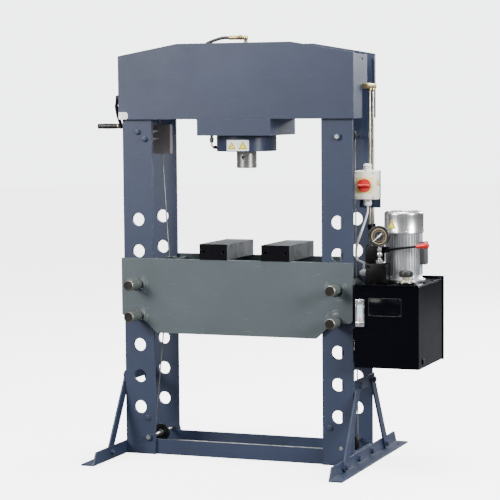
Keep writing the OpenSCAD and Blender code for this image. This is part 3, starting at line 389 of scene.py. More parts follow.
def bright_steel(name, colour, roughness, turning, grime, sawn=None):
    """Machined steel: fine tool marks one way, smears of oil, and dark scale left on sawn front ends."""
    material = bpy.data.materials.new(name)
    material.use_nodes = True
    tree = material.node_tree
    tree.nodes.clear()
    place = tree.nodes.new("ShaderNodeTexCoord")
    place.label = "place on the bar"
    pull = tree.nodes.new("ShaderNodeMapping")
    pull.label = "tool marks run round the bar"
    pull.inputs["Scale"].default_value = turning
    mark = tree.nodes.new("ShaderNodeTexNoise")
    mark.label = "tool marks"
    mark.inputs["Scale"].default_value = 1.5
    mark.inputs["Detail"].default_value = 5
    mark.inputs["Roughness"].default_value = 0.7
    mark_bump = tree.nodes.new("ShaderNodeBump")
    mark_bump.label = "depth of the tool marks"
    mark_bump.inputs["Strength"].default_value = 0.25
    mark_bump.inputs["Distance"].default_value = 0.0004
    smear = tree.nodes.new("ShaderNodeTexNoise")
    smear.label = "oil and handling"
    smear.inputs["Scale"].default_value = 14
    smear.inputs["Detail"].default_value = 6
    smear.inputs["Distortion"].default_value = 0.8
    smear_cut = tree.nodes.new("ShaderNodeMapRange")
    smear_cut.label = "where the smears lie"
    smear_cut.inputs["From Min"].default_value = 0.42
    smear_cut.inputs["From Max"].default_value = 0.68
    smear_cut.inputs["To Max"].default_value = grime
    tone = tree.nodes.new("ShaderNodeMix")
    tone.label = "steel under the smears"
    tone.data_type = "RGBA"
    tone.inputs["A"].default_value = (*colour, 1)
    tone.inputs["B"].default_value = (colour[0] * 0.32, colour[1] * 0.30, colour[2] * 0.26, 1)
    shine = tree.nodes.new("ShaderNodeMapRange")
    shine.label = "polish from mark to mark"
    shine.inputs["To Min"].default_value = max(0.05, roughness - 0.1)
    shine.inputs["To Max"].default_value = roughness + 0.18
    soft_edge = tree.nodes.new("ShaderNodeBevel")
    soft_edge.label = "broken edges"
    soft_edge.samples = 4
    soft_edge.inputs["Radius"].default_value = 0.0008
    steel = tree.nodes.new("ShaderNodeBsdfPrincipled")
    steel.label = "steel"
    steel.inputs["Metallic"].default_value = 1
    out = tree.nodes.new("ShaderNodeOutputMaterial")
    out.label = "finished bar"
    for title, members, row in (
        ("tool marks", (pull, mark, mark_bump, shine), 200),
        ("oil and dirt", (smear, smear_cut, tone), -150),
        ("edges", (soft_edge,), -450),
    ):
        group = tree.nodes.new("NodeFrame")
        group.label = title
        for i, n in enumerate(members):
            n.parent = group
            n.location = (i * 210, row)
    place.location = (-260, 0)
    steel.location = (1000, 0)
    out.location = (1300, 0)
    tree.links.new(place.outputs["Object"], pull.inputs["Vector"])
    tree.links.new(pull.outputs["Vector"], mark.inputs["Vector"])
    tree.links.new(mark.outputs["Fac"], mark_bump.inputs["Height"])
    tree.links.new(mark.outputs["Fac"], shine.inputs["Value"])
    tree.links.new(shine.outputs["Result"], steel.inputs["Roughness"])
    tree.links.new(soft_edge.outputs["Normal"], mark_bump.inputs["Normal"])
    tree.links.new(mark_bump.outputs["Normal"], steel.inputs["Normal"])
    tree.links.new(place.outputs["Object"], smear.inputs["Vector"])
    tree.links.new(smear.outputs["Fac"], smear_cut.inputs["Value"])
    tree.links.new(smear_cut.outputs["Result"], tone.inputs["Factor"])
    tree.links.new(tone.outputs["Result"], steel.inputs["Base Color"])
    if sawn:
        split = tree.nodes.new("ShaderNodeSeparateXYZ")
        split.label = "which way the face looks"
        front = tree.nodes.new("ShaderNodeMapRange")
        front.label = "sawn front ends only"
        front.inputs["From Min"].default_value = -0.90
        front.inputs["From Max"].default_value = -0.97
        scale_tone = tree.nodes.new("ShaderNodeMix")
        scale_tone.label = "dark scale on the sawn end"
        scale_tone.data_type = "RGBA"
        scale_tone.inputs["B"].default_value = (*sawn, 1)
        group = tree.nodes.new("NodeFrame")
        group.label = "sawn ends"
        for i, n in enumerate((split, front, scale_tone)):
            n.parent = group
            n.location = (i * 210, -700)
        tree.links.new(place.outputs["Normal"], split.inputs["Vector"])
        tree.links.new(split.outputs["Y"], front.inputs["Value"])
        tree.links.new(front.outputs["Result"], scale_tone.inputs["Factor"])
        tree.links.new(tone.outputs["Result"], scale_tone.inputs["A"])
        tree.links.new(scale_tone.outputs["Result"], steel.inputs["Base Color"])
    tree.links.new(steel.outputs["BSDF"], out.inputs["Surface"])
    return material


ram_steel = bright_steel("ram_steel", (0.56, 0.55, 0.52), 0.24, (2, 2, 260), 0.35)
for name in ("ram_rod", "ram_nose"):
    nodes[name].material_slots[0].material = ram_steel
block_steel = bright_steel("block_steel", (0.24, 0.25, 0.26), 0.40, (120, 3, 3), 0.6,
                           sawn=(0.008, 0.008, 0.010))
for name in ("block_left", "block_right"):
    nodes[name].material_slots[0].material = block_steel
dark_steel = bright_steel("dark_steel", (0.09, 0.09, 0.095), 0.36, (40, 40, 40), 0.5)
for name in ("pulley_bottom_left", "pulley_bottom_right", "pulley_top_right", "piston", "pump",
             "motor_rotor"):
    nodes[name].material_slots[0].material = dark_steel
zinc = bright_steel("zinc_plate", (0.55, 0.55, 0.53), 0.30, (50, 50, 50), 0.5)
nodes["rope_drum"].material_slots[0].material = zinc
guard_steel = painted_steel("guard_brown_grey", (0.150, 0.138, 0.140), (0.34, 0.33, 0.31), 0.46, 0.8)
for name in ("rope_guard", "winch_frame"):
    nodes[name].material_slots[0].material = guard_steel
rope_steel = bright_steel("rope_steel", (0.34, 0.34, 0.33), 0.42, (300, 300, 120), 0.8)
for name in ("lift_rope", "table_rope_left", "table_rope_right", "guide_rope"):
    nodes[name].material_slots[0].material = rope_steel

# ---- moulded parts ---------------------------------------------------------
# The switch, glands, grips and caps are injection moulded, with a fine spark-eroded skin.


def moulded(name, colour, roughness, grain, rounding=0.0015):
    """Injection moulded plastic: even colour with faint flow, a fine textured skin and handled shine."""
    material = bpy.data.materials.new(name)
    material.use_nodes = True
    tree = material.node_tree
    tree.nodes.clear()
    place = tree.nodes.new("ShaderNodeTexCoord")
    place.label = "place on the moulding"
    flow = tree.nodes.new("ShaderNodeTexNoise")
    flow.label = "flow and dust"
    flow.inputs["Scale"].default_value = 22
    flow.inputs["Detail"].default_value = 5
    flow_range = tree.nodes.new("ShaderNodeMapRange")
    flow_range.label = "faint change of tone"
    flow_range.inputs["From Min"].default_value = 0.3
    flow_range.inputs["From Max"].default_value = 0.7
    flow_range.inputs["To Min"].default_value = 0.86
    flow_range.inputs["To Max"].default_value = 1.05
    tone = tree.nodes.new("ShaderNodeMix")
    tone.label = "plastic colour"
    tone.data_type = "RGBA"
    tone.blend_type = "MULTIPLY"
    tone.inputs["Factor"].default_value = 1
    tone.inputs["A"].default_value = (*colour, 1)
    shine = tree.nodes.new("ShaderNodeMapRange")
    shine.label = "rubbed and dull places"
    shine.inputs["To Min"].default_value = max(0.06, roughness - 0.1)
    shine.inputs["To Max"].default_value = roughness + 0.12
    skin = tree.nodes.new("ShaderNodeTexNoise")
    skin.label = "textured mould skin"
    skin.inputs["Scale"].default_value = 900
    skin_bump = tree.nodes.new("ShaderNodeBump")
    skin_bump.label = "skin height"
    skin_bump.inputs["Strength"].default_value = grain
    skin_bump.inputs["Distance"].default_value = 0.0003
    soft_edge = tree.nodes.new("ShaderNodeBevel")
    soft_edge.label = "moulded edge radius"
    soft_edge.samples = 4
    soft_edge.inputs["Radius"].default_value = rounding
    plastic = tree.nodes.new("ShaderNodeBsdfPrincipled")
    plastic.label = "plastic"
    out = tree.nodes.new("ShaderNodeOutputMaterial")
    out.label = "finished moulding"
    for title, members, row in (
        ("colour and shine", (flow, flow_range, tone, shine), 200),
        ("skin", (skin, soft_edge, skin_bump), -150),
    ):
        group = tree.nodes.new("NodeFrame")
        group.label = title
        for i, n in enumerate(members):
            n.parent = group
            n.location = (i * 210, row)
    place.location = (-260, 0)
    plastic.location = (1000, 0)
    out.location = (1300, 0)
    tree.links.new(place.outputs["Object"], flow.inputs["Vector"])
    tree.links.new(flow.outputs["Fac"], flow_range.inputs["Value"])
    tree.links.new(flow_range.outputs["Result"], tone.inputs["B"])
    tree.links.new(tone.outputs["Result"], plastic.inputs["Base Color"])
    tree.links.new(flow.outputs["Fac"], shine.inputs["Value"])
    tree.links.new(shine.outputs["Result"], plastic.inputs["Roughness"])
    tree.links.new(place.outputs["Object"], skin.inputs["Vector"])
    tree.links.new(skin.outputs["Fac"], skin_bump.inputs["Height"])
    tree.links.new(soft_edge.outputs["Normal"], skin_bump.inputs["Normal"])
    tree.links.new(skin_bump.outputs["Normal"], plastic.inputs["Normal"])
    tree.links.new(plastic.outputs["BSDF"], out.inputs["Surface"])
    return material


black_plastic = moulded("black_plastic", (0.014, 0.014, 0.015), 0.42, 0.3)
red_plastic = moulded("red_plastic", (0.55, 0.012, 0.010), 0.28, 0.1)
pale_plastic = moulded("pale_plastic", (0.95, 0.88, 0.74), 0.40, 0.2)
white_plastic = moulded("white_plastic", (0.95, 0.95, 0.93), 0.34, 0.1)

# ---- bolts and axles -------------------------------------------------------
# Hexagon bolts hold the feet, the braces and the winch, and were sprayed with the frame.
# The three pulley axles are plated bars with a painted nut outside each post.


def turned(bm, profile, place, segments=40):
    """A turned shape: a profile of (radius, height) points spun about its own Z, then put in place."""
    before = set(bm.verts)
    points = [bm.verts.new((r, 0, h)) for r, h in profile]
    lines = [bm.edges.new(pair) for pair in zip(points, points[1:])]
    bmesh.ops.spin(bm, geom=points + lines, cent=(0, 0, 0), axis=(0, 0, 1), angle=math.tau,
                   steps=segments, use_merge=True)
    made = [v for v in bm.verts if v not in before]
    bmesh.ops.remove_doubles(bm, verts=made, dist=1e-6)
    made = [v for v in bm.verts if v not in before]
    bmesh.ops.transform(bm, matrix=place, verts=made)


def hexagon(bm, across, height, place, chamfer=0.12):
    """A hexagon head or nut: a six-sided prism with its outer corners turned off."""
    radius = across / math.sqrt(3)
    made = bmesh.ops.create_cone(bm, cap_ends=True, segments=6, radius1=radius, radius2=radius,
                                 depth=height,
                                 matrix=place @ Matrix.Translation((0, 0, height / 2)))["verts"]
    rim = [e for e in dict.fromkeys(e for v in made for e in v.link_edges)
           if all(abs((place.inverted() @ v.co).z - height) < 1e-5 for v in e.verts)]
    bmesh.ops.bevel(bm, geom=rim, offset=across * chamfer * 0.5, offset_type="OFFSET", affect="EDGES",
                    segments=2, profile=0.5, material=-1)


def block(bm, low, high, round_by=0.001, steps=2):
    """A machined or moulded box between two corners with its edges broken."""
    low = Vector(low)
    high = Vector(high)
    made = bmesh.ops.create_cube(bm, size=1, matrix=Matrix.Translation((low + high) / 2)
                                 @ Matrix.Diagonal((*(high - low), 1)))["verts"]
    edges = list(dict.fromkeys(e for v in made for e in v.link_edges))
    bmesh.ops.bevel(bm, geom=edges, offset=round_by, affect="EDGES", segments=steps, profile=0.5,
                    material=-1)


def as_piece(name, bm, body, materials, sharp=32):
    """Makes the built mesh a piece that rides on its body, smooth except where it turns sharply."""
    bmesh.ops.recalc_face_normals(bm, faces=bm.faces)
    mesh = bpy.data.meshes.new(name)
    bm.to_mesh(mesh)
    bm.free()
    for material in materials:
        mesh.materials.append(material)
    mesh.shade_smooth()
    mesh.set_sharp_from_angle(angle=math.radians(sharp))
    piece = bpy.data.objects.new(name, mesh)
    bpy.context.scene.collection.objects.link(piece)
    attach(piece, body)
    return piece


def pointing(direction, place):
    """A frame at a place whose Z points the given way."""
    turn = Vector((0, 0, 1)).rotation_difference(Vector(direction))
    return Matrix.Translation(place) @ turn.to_matrix().to_4x4()


def bolt(bm, place, direction, across=0.024, washer=0.0155, reach=0.0):
    """A washer and a chamfered head on a face, with shank and nut on the other side if it goes through."""
    outward = pointing(direction, place)
    turned(bm, [(0, -0.0004), (washer, -0.0004), (washer, 0.0016), (washer - 0.0006, 0.0022), (0, 0.0022)],
           outward, 24)
    hexagon(bm, across, 0.0105, outward @ Matrix.Translation((0, 0, 0.002)) @ Matrix.Rotation(0.4, 4, "Z"))
    turned(bm, [(0, 0.0124), (across * 0.30, 0.0124), (across * 0.26, 0.0130), (0, 0.0130)], outward, 20)
    if reach:
        inward = outward @ Matrix.Translation((0, 0, -reach)) @ Matrix.Rotation(math.pi, 4, "X")
        turned(bm, [(0, -0.001), (washer, -0.001), (washer, 0.002), (0, 0.002)], inward, 24)
        nut = inward @ Matrix.Translation((0, 0, 0.002)) @ Matrix.Rotation(0.9, 4, "Z")
        hexagon(bm, across, 0.009, nut)
        turned(bm, [(0, 0.010), (0.006, 0.010), (0.006, 0.0148), (0.0052, 0.0156), (0, 0.0156)], inward, 20)


post_face = 0.153
bolt_rows = ((0.581, 0.105, 0.032, 0.020), (0.589, 0.320, 0.032, 0.016), (0.589, 0.109, 0.372, 0.016))
axle_places = ((-0.455, 0.082), (0.511, 0.082), (0.502, 1.520))
bare_end = (0.511, 0.082)
bm = bmesh.new()
for side in (-1, 1):
    for x, y, z, through in bolt_rows:
        for end in (-1, 1):
            bolt(bm, (side * x, end * y, z), (side, 0, 0), reach=through)
for x, z in ((-0.495, 1.544), (-0.459, 1.510)):
    bolt(bm, (x, -post_face, z), (0, -1, 0), across=0.022, washer=0.015)
# round stops on the front posts
for x in (-0.4587, 0.4587):
    turned(bm, [(0, -0.0004), (0.0140, -0.0004), (0.0140, 0.0036), (0.0132, 0.0048), (0.0110, 0.0056),
                (0.0070, 0.0058),
                (0, 0.0059)], pointing((0, -1, 0), (x, -post_face, 0.176)), 36)
for x, z in axle_places:
    for side in (-1, 1):
        if side > 0 or (x, z) != bare_end:
            hexagon(bm, 0.030, 0.0115, pointing((0, side, 0), (x, side * post_face, z)))
painted_bolts = as_piece("painted_bolts", bm, "frame", [frame_paint])
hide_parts("axles_and_bolts")

bm = bmesh.new()
for x, z in axle_places:
    along = pointing((0, 1, 0), (x, 0, z))
    front = -0.1525 if (x, z) == bare_end else -0.1655
    turned(bm, [(0, front), (0.0092, front), (0.0098, front + 0.001), (0.0098, 0.1655), (0.0088, 0.1670),
                (0, 0.1670)], along)
    for side in (-1, 1):
        turned(bm, [(0.0101, 0.009), (0.0145, 0.009), (0.0150, 0.010), (0.0150, 0.018), (0.0145, 0.019),
                    (0.0101, 0.019),
                    (0.0101, 0.009)], pointing((0, side, 0), (x, 0, z)), 32)
pulley_axles = as_piece("pulley_axles", bm, "frame", [zinc])

# ---- cylinder head label ---------------------------------------------------
# A white label wrapped round the front of the head, with two blank yellow triangles
# edged in black, and a small blank label at the beam's corner.


def stuck_round(bm, outline, centre, radius, facing, index):
    """A thin label: an outline of (along, height) points bent round an upright cylinder."""
    before = set(bm.verts)
    face = bm.faces.new([bm.verts.new((u, 0, w)) for u, w in outline])
    face.material_index = index
    left = min(u for u, w in outline)
    width = max(u for u, w in outline) - left
    cuts = max(4, int(width / 0.004))
    for i in range(1, cuts):
        made = [v for v in bm.verts if v not in before]
        edges = list(dict.fromkeys(e for v in made for e in v.link_edges))
        faces = list(dict.fromkeys(f for v in made for f in v.link_faces))
        bmesh.ops.bisect_plane(bm, geom=made + edges + faces, plane_co=(left + width * i / cuts, 0, 0),
                               plane_no=(1, 0, 0))
    for v in [v for v in bm.verts if v not in before]:
        turn = facing + v.co.x / radius
        v.co = Vector((centre[0] + radius * math.cos(turn), centre[1] + radius * math.sin(turn), v.co.z))


def triangle(size, along, height):
    """The three corners of an upright triangle, as (along, height) points."""
    return [(along + size * math.sin(math.radians(a)),
             size * math.cos(math.radians(a)) + height) for a in (0, 120, 240)]


def pushed_out(bm, faces, by):
    """Extrudes faces, moves what was made, and gives it back."""
    made = bmesh.ops.extrude_face_region(bm, geom=faces)["geom"]
    bmesh.ops.translate(bm, verts=[g for g in made if isinstance(g, bmesh.types.BMVert)], vec=by)
    return made


sticker_white = moulded("sticker_white", (0.95, 0.95, 0.94), 0.35, 0.03, 0.0002)
sticker_yellow = moulded("sticker_yellow", (0.95, 0.80, 0.04), 0.35, 0.03, 0.0002)
sticker_black = moulded("sticker_black", (0.015, 0.015, 0.016), 0.40, 0.03, 0.0002)
head_radius = 0.1415
front = math.radians(-90)
bm = bmesh.new()
stuck_round(bm, [(-0.050, 1.4535), (0.062, 1.4535), (0.062, 1.5040), (-0.050, 1.5040)], (0, 0),
            head_radius + 0.0004,
            front, 0)
for middle in (-0.0215, 0.0335):
    for size, lift, index in ((0.0245, 0.0006, 1), (0.0218, 0.0008, 2), (0.0170, 0.0010, 1)):
        stuck_round(bm, triangle(size, middle, 1.4735), (0, 0), head_radius + lift, front, index)
head_label = as_piece("head_label", bm, "frame", [sticker_white, sticker_yellow, sticker_black])

# small blank label at the beam's lower left corner
bm = bmesh.new()
outline = ((-0.5830, 1.6030), (-0.5420, 1.6030), (-0.5360, 1.6120), (-0.5370, 1.6260), (-0.5430, 1.6370),
           (-0.5830, 1.6370))
label_face = bm.faces.new([bm.verts.new((x, -0.1725, z)) for x, z in outline])
pushed_out(bm, [label_face], (0, -0.0009, 0))
beam_label = as_piece("beam_label", bm, "frame", [sticker_white])

# ---- valve and manifold ----------------------------------------------------
# A black-oxide manifold bolted to the lid, with the lever valve on top of it, a relief
# cartridge at its left and plated fittings for the gauge and the two hoses.
bm = bmesh.new()
block(bm, (0.6402, -0.1758, 0.8512), (0.7358, -0.1002, 0.9438), 0.0018)
block(bm, (0.6262, -0.1338, 0.9442), (0.7038, -0.0762, 1.0198), 0.0030, 3)
for y in (-0.134, -0.098):
    turned(bm, [(0.0045, 0), (0.0125, 0), (0.0130, 0.0006), (0.0130, 0.0114), (0.0125, 0.012),
                (0.0045, 0.012), (0.0045, 0)],
           pointing((0, 1, 0), (0.718, y, 1.003)), 32)
    block(bm, (0.7036, y + 0.0004, 0.9904), (0.7140, y + 0.0116, 1.0156), 0.0008)
turned(bm, [(0, 0), (0.0130, 0), (0.0130, 0.0035), (0.0118, 0.0045), (0, 0.0045)],
       pointing((-1, 0, 0), (0.6402, -0.138, 0.900)), 40)
hexagon(bm, 0.018, 0.006, pointing((-1, 0, 0), (0.636, -0.138, 0.900)))
for x in (0.652, 0.724):
    for z in (0.864, 0.931):
        turned(bm, [(0, 0), (0.0062, 0), (0.0062, 0.0052), (0.0056, 0.006), (0.0034, 0.006),
                    (0.0030, 0.0030), (0, 0.0030)],
               pointing((0, -1, 0), (x, -0.1756, z)), 20)
for x in (0.636, 0.694):
    for y in (-0.125, -0.085):
        turned(bm, [(0, 0), (0.0052, 0), (0.0052, 0.0050), (0.0046, 0.0056), (0.0030, 0.0056),
                    (0.0027, 0.0026), (0, 0.0026)],
               pointing((0, 0, 1), (x, y, 1.0196)), 20)
black_oxide = bright_steel("black_oxide", (0.013, 0.013, 0.014), 0.42, (50, 50, 50), 0.4)
valve_body = as_piece("valve_body", bm, "frame", [black_oxide])
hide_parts("valve_block")

bm = bmesh.new()
stem = Matrix.Translation((0.700, -0.1515, 0))
hexagon(bm, 0.030, 0.016, stem @ Matrix.Translation((0, 0, 0.9440)))
turned(bm, [(0, 0.9600), (0.0105, 0.9600), (0.0105, 0.9660), (0.0075, 0.9690), (0.0075, 0.9730),
            (0.0112, 0.9760),
            (0.0130, 0.9800), (0.0135, 0.9850), (0.0130, 0.9900), (0.0108, 0.9945), (0.0080, 0.9970),
            (0.0080, 1.0000),
            (0, 1.0000)], stem, 40)
hexagon(bm, 0.0205, 0.014, stem @ Matrix.Translation((0, 0, 0.9995)))
turned(bm, [(0, 1.0135), (0.0075, 1.0135), (0.0075, 1.0200), (0.0090, 1.0230), (0, 1.0230)], stem, 32)
for place in ((0.640, -0.0762, 0.973), (0.662, -0.1002, 0.931)):
    union = pointing((0, 1, 0), place)
    hexagon(bm, 0.0175, 0.0055, union)
    turned(bm, [(0, 0.005), (0.0062, 0.005), (0.0062, 0.0118), (0, 0.0118)], union, 24)
chrome = bright_steel("chrome", (0.78, 0.78, 0.77), 0.13, (30, 30, 30), 0.15)
valve_fittings = as_piece("valve_fittings", bm, "frame", [chrome])
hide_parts("valve_block")

# the lever: a black rod in the valve's fork, with a red moulded grip
lever_frame = Matrix.Translation((0.718, -0.110, 1.003)) @ Matrix.Rotation(math.radians(-7), 4, "Y")
lever_along = lever_frame @ Matrix.Rotation(math.radians(90), 4, "Y")
lever_pivot = lever_frame @ pointing((0, 1, 0), (0, 0, 0))
bm = bmesh.new()
turned(bm, [(0, 0.004), (0.0052, 0.004), (0.0050, 0.148), (0, 0.148)], lever_along, 24)
turned(bm, [(0, -0.010), (0.0084, -0.010), (0.0090, -0.0094), (0.0090, 0.0094), (0.0084, 0.010),
            (0, 0.010)],
       lever_pivot, 32)
turned(bm, [(0, -0.027), (0.0036, -0.027), (0.0040, -0.0265), (0.0040, 0.0265), (0.0036, 0.027),
            (0, 0.027)],
       lever_pivot, 24)
lever_rod = as_piece("lever_rod", bm, "lever", [black_oxide])
bm = bmesh.new()
turned(bm, [(0, 0.1425), (0.0072, 0.1425), (0.0086, 0.1440), (0.0098, 0.1500), (0.0113, 0.1620),
            (0.0125, 0.1740),
            (0.0136, 0.1830), (0.0141, 0.1885), (0.0138, 0.1930), (0.0126, 0.1974), (0.0104, 0.2012),
            (0.0074, 0.2038),
            (0.0038, 0.2048), (0, 0.2050)], lever_along, 48)
lever_grip = as_piece("lever_grip", bm, "lever", [red_plastic])
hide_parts("valve_lever")
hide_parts("valve_lever")

# ---- hoses and pipes -------------------------------------------------------
# Rubber hose with a fabric cover runs from the cylinder's top port; crimped ferrules and
# hexagon nuts join it to a forged elbow. Plated pipes drop down the right post.


def braided(name, colour, pitch, roughness):
    """A wound or braided skin: two sets of slanting strands that cross, raised, lighter on top where
    rubbed, and darkened in the grooves between them as painted shade.
    """
    material = bpy.data.materials.new(name)
    material.use_nodes = True
    tree = material.node_tree
    tree.nodes.clear()
    place = tree.nodes.new("ShaderNodeTexCoord")
    place.label = "place on the hose"
    strands = []
    for way in (1, -1):
        lean = tree.nodes.new("ShaderNodeMapping")
        lean.label = "strands leaning one way" if way > 0 else "strands leaning the other way"
        lean.inputs["Rotation"].default_value = (0.3 * way, 0.85 * way, 0.6 * way)
        strand = tree.nodes.new("ShaderNodeTexWave")
        strand.label = "one set of strands"
        strand.inputs["Scale"].default_value = 0.314 / pitch
        strand.inputs["Distortion"].default_value = 0.4
        tree.links.new(place.outputs["Object"], lean.inputs["Vector"])
        tree.links.new(lean.outputs["Vector"], strand.inputs["Vector"])
        strands += [lean, strand]
    weave = tree.nodes.new("ShaderNodeMath")
    weave.label = "strands crossing"
    weave.operation = "MAXIMUM"
    height = tree.nodes.new("ShaderNodeBump")
    height.label = "strand height"
    height.inputs["Strength"].default_value = 0.6
    height.inputs["Distance"].default_value = 0.0006
    dust = tree.nodes.new("ShaderNodeTexNoise")
    dust.label = "dust in the weave"
    dust.inputs["Scale"].default_value = 25
    dust.inputs["Detail"].default_value = 5
    # strand colour follows strand height: grooves darkened as painted shade, tops lightened as rubbed wear
    # where the dust noise is high
    worn = tree.nodes.new("ShaderNodeMath")
    worn.label = "rubbed strand tops"
    worn.operation = "MULTIPLY"
    tone = tree.nodes.new("ShaderNodeMix")
    tone.label = "strand colour"
    tone.data_type = "RGBA"
    tone.inputs["A"].default_value = (colour[0] * 0.55, colour[1] * 0.55, colour[2] * 0.55, 1)
    tone.inputs["B"].default_value = (colour[0] * 1.9, colour[1] * 1.9, colour[2] * 1.9, 1)
    shine = tree.nodes.new("ShaderNodeMapRange")
    shine.label = "dull and rubbed places"
    shine.inputs["To Min"].default_value = roughness + 0.12
    shine.inputs["To Max"].default_value = roughness - 0.12
    cover = tree.nodes.new("ShaderNodeBsdfPrincipled")
    cover.label = "skin"
    out = tree.nodes.new("ShaderNodeOutputMaterial")
    out.label = "finished skin"
    for title, members, row in (
        ("strands", (*strands, weave, height), 200),
        ("wear and dust", (dust, worn, tone, shine), -150),
    ):
        group = tree.nodes.new("NodeFrame")
        group.label = title
        for i, n in enumerate(members):
            n.parent = group
            n.location = (i * 210, row)
    place.location = (-260, 0)
    cover.location = (1500, 0)
    out.location = (1800, 0)
    tree.links.new(strands[1].outputs["Fac"], weave.inputs[0])
    tree.links.new(strands[3].outputs["Fac"], weave.inputs[1])
    tree.links.new(weave.outputs["Value"], height.inputs["Height"])
    tree.links.new(height.outputs["Normal"], cover.inputs["Normal"])
    tree.links.new(place.outputs["Object"], dust.inputs["Vector"])
    tree.links.new(dust.outputs["Fac"], worn.inputs[0])
    tree.links.new(weave.outputs["Value"], worn.inputs[1])
    tree.links.new(worn.outputs["Value"], tone.inputs["Factor"])
    tree.links.new(tone.outputs["Result"], cover.inputs["Base Color"])
    tree.links.new(worn.outputs["Value"], shine.inputs["Value"])
    tree.links.new(shine.outputs["Result"], cover.inputs["Roughness"])
    tree.links.new(cover.outputs["BSDF"], out.inputs["Surface"])
    return material


def swept(bm, route, radius, sides):
    """A tube along a route of points: a circle extruded from point to point and turned to face along it."""
    route = [Vector(p) for p in route]
    ring = bmesh.ops.create_circle(bm, cap_ends=True, segments=sides, radius=radius)["verts"]
    facing = (route[1] - route[0]).normalized()
    bmesh.ops.transform(bm, verts=ring,
                        matrix=Vector((0, 0, 1)).rotation_difference(facing).to_matrix().to_4x4())
    bmesh.ops.translate(bm, verts=ring, vec=route[0])
    start = next(f for f in bm.faces if all(v in ring for v in f.verts))
    for i in range(1, len(route)):
        ahead = (route[min(i + 1, len(route) - 1)] - route[i - 1]).normalized()
        made = bmesh.ops.extrude_face_region(bm, geom=[start])["geom"]
        if i > 1:
            bmesh.ops.delete(bm, geom=[start], context="FACES_ONLY")
        start = next(g for g in made if isinstance(g, bmesh.types.BMFace))
        loop = [g for g in made if isinstance(g, bmesh.types.BMVert)]
        turn = facing.rotation_difference(ahead).to_matrix().to_4x4()
        bmesh.ops.transform(bm, verts=loop,
                            matrix=Matrix.Translation(route[i]) @ turn @ Matrix.Translation(-route[i - 1]))
        facing = ahead


def smooth_route(points, steps):
    """Points along a smooth curve through the given ones."""
    points = [Vector(p) for p in points]
    route = []
    for i in range(len(points) - 1):
        a = points[max(i - 1, 0)]
        b = points[i]
        c = points[i + 1]
        d = points[min(i + 2, len(points) - 1)]
        for k in range(steps):
            t = k / steps
            bend = (2 * a - 5 * b + 4 * c - d) * t * t
            twist = (3 * b - a - 3 * c + d) * t ** 3
            route.append(0.5 * ((2 * b) + (c - a) * t + bend + twist))
    route.append(points[-1])
    return route


pipe_rows = (0.028, 0.078)
hose_cover = braided("hose_cover", (0.030, 0.031, 0.033), 0.0022, 0.62)
brass_plate = bright_steel("yellow_zinc", (0.55, 0.42, 0.20), 0.28, (50, 50, 50), 0.4)
pipe_plate = bright_steel("pipe_plate", (0.86, 0.80, 0.62), 0.26, (60, 60, 4), 0.25)
bm = bmesh.new()
swept(bm, smooth_route([(-0.083, 0, 1.984), (-0.112, 0, 1.984), (-0.150, 0, 1.976), (-0.191, 0, 1.961),
                        (-0.228, 0.004, 1.936),
                        (-0.258, 0.012, 1.902), (-0.276, 0.026, 1.862), (-0.282, 0.046, 1.820),
                        (-0.276, 0.072, 1.780),
                        (-0.256, 0.100, 1.742), (-0.220, 0.124, 1.708), (-0.170, 0.137, 1.684),
                        (-0.110, 0.139, 1.672),
                        (-0.040, 0.139, 1.668), (0.040, 0.139, 1.668), (0.120, 0.139, 1.670),
                        (0.190, 0.136, 1.678),
                        (0.260, 0.126, 1.692), (0.330, 0.110, 1.712), (0.400, 0.092, 1.732),
                        (0.460, 0.081, 1.746),
                        (0.500, 0.078, 1.750), (0.538, 0.078, 1.750)], 4), 0.0076, 24)
top_hose = as_piece("top_hose_cover", bm, "frame", [hose_cover])
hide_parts("top_hose")
bm = bmesh.new()
for route in ([(0.600, 0.028, 1.086), (0.600, 0.028, 1.072), (0.601, 0.025, 1.044), (0.608, 0.008, 1.012),
               (0.622, -0.018, 0.990), (0.634, -0.044, 0.978), (0.640, -0.058, 0.973),
               (0.640, -0.069, 0.973)],
              [(0.600, 0.078, 1.086), (0.600, 0.078, 1.072), (0.602, 0.074, 1.040), (0.612, 0.056, 1.002),
               (0.628, 0.022, 0.970), (0.646, -0.020, 0.946), (0.658, -0.054, 0.934),
               (0.662, -0.076, 0.931),
               (0.662, -0.088, 0.931)]):
    swept(bm, smooth_route(route, 5), 0.0072, 24)
valve_hose_covers = as_piece("valve_hose_covers", bm, "frame", [hose_cover])
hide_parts("valve_hoses")

bm = bmesh.new()
turned(bm, [(0, 1.933), (0.0120, 1.933), (0.0120, 1.937), (0.0090, 1.939), (0.0090, 1.950), (0, 1.950)],
       Matrix.Identity(4), 32)
hexagon(bm, 0.0220, 0.0130, Matrix.Translation((0, 0, 1.948)))
turned(bm, [(0, 1.9605), (0.0085, 1.9605), (0.0085, 1.9720), (0.0100, 1.9745), (0.0105, 1.9840),
            (0.0095, 1.9905),
            (0.0060, 1.9945), (0, 1.9955)], Matrix.Identity(4), 36)
along_hose = pointing((-1, 0, 0), (0, 0, 1.984))
turned(bm, [(0, 0), (0.0085, 0), (0.0085, 0.0120), (0.0070, 0.0130), (0.0070, 0.0150), (0, 0.0150)],
       along_hose, 32)
hexagon(bm, 0.0220, 0.0150, along_hose @ Matrix.Translation((0, 0, 0.0140)))
hexagon(bm, 0.0190, 0.0080, along_hose @ Matrix.Translation((0, 0, 0.0300)))
ferrule = [(0, 0.0370), (0.0080, 0.0370), (0.0098, 0.0385)]
for i in range(7):
    ferrule += [(0.0104, 0.0400 + 0.0062 * i), (0.0104, 0.0434 + 0.0062 * i), (0.0097, 0.0442 + 0.0062 * i),
                (0.0097, 0.0454 + 0.0062 * i)]
turned(bm, ferrule + [(0.0098, 0.0835), (0.0086, 0.0850), (0, 0.0850)], along_hose, 40)
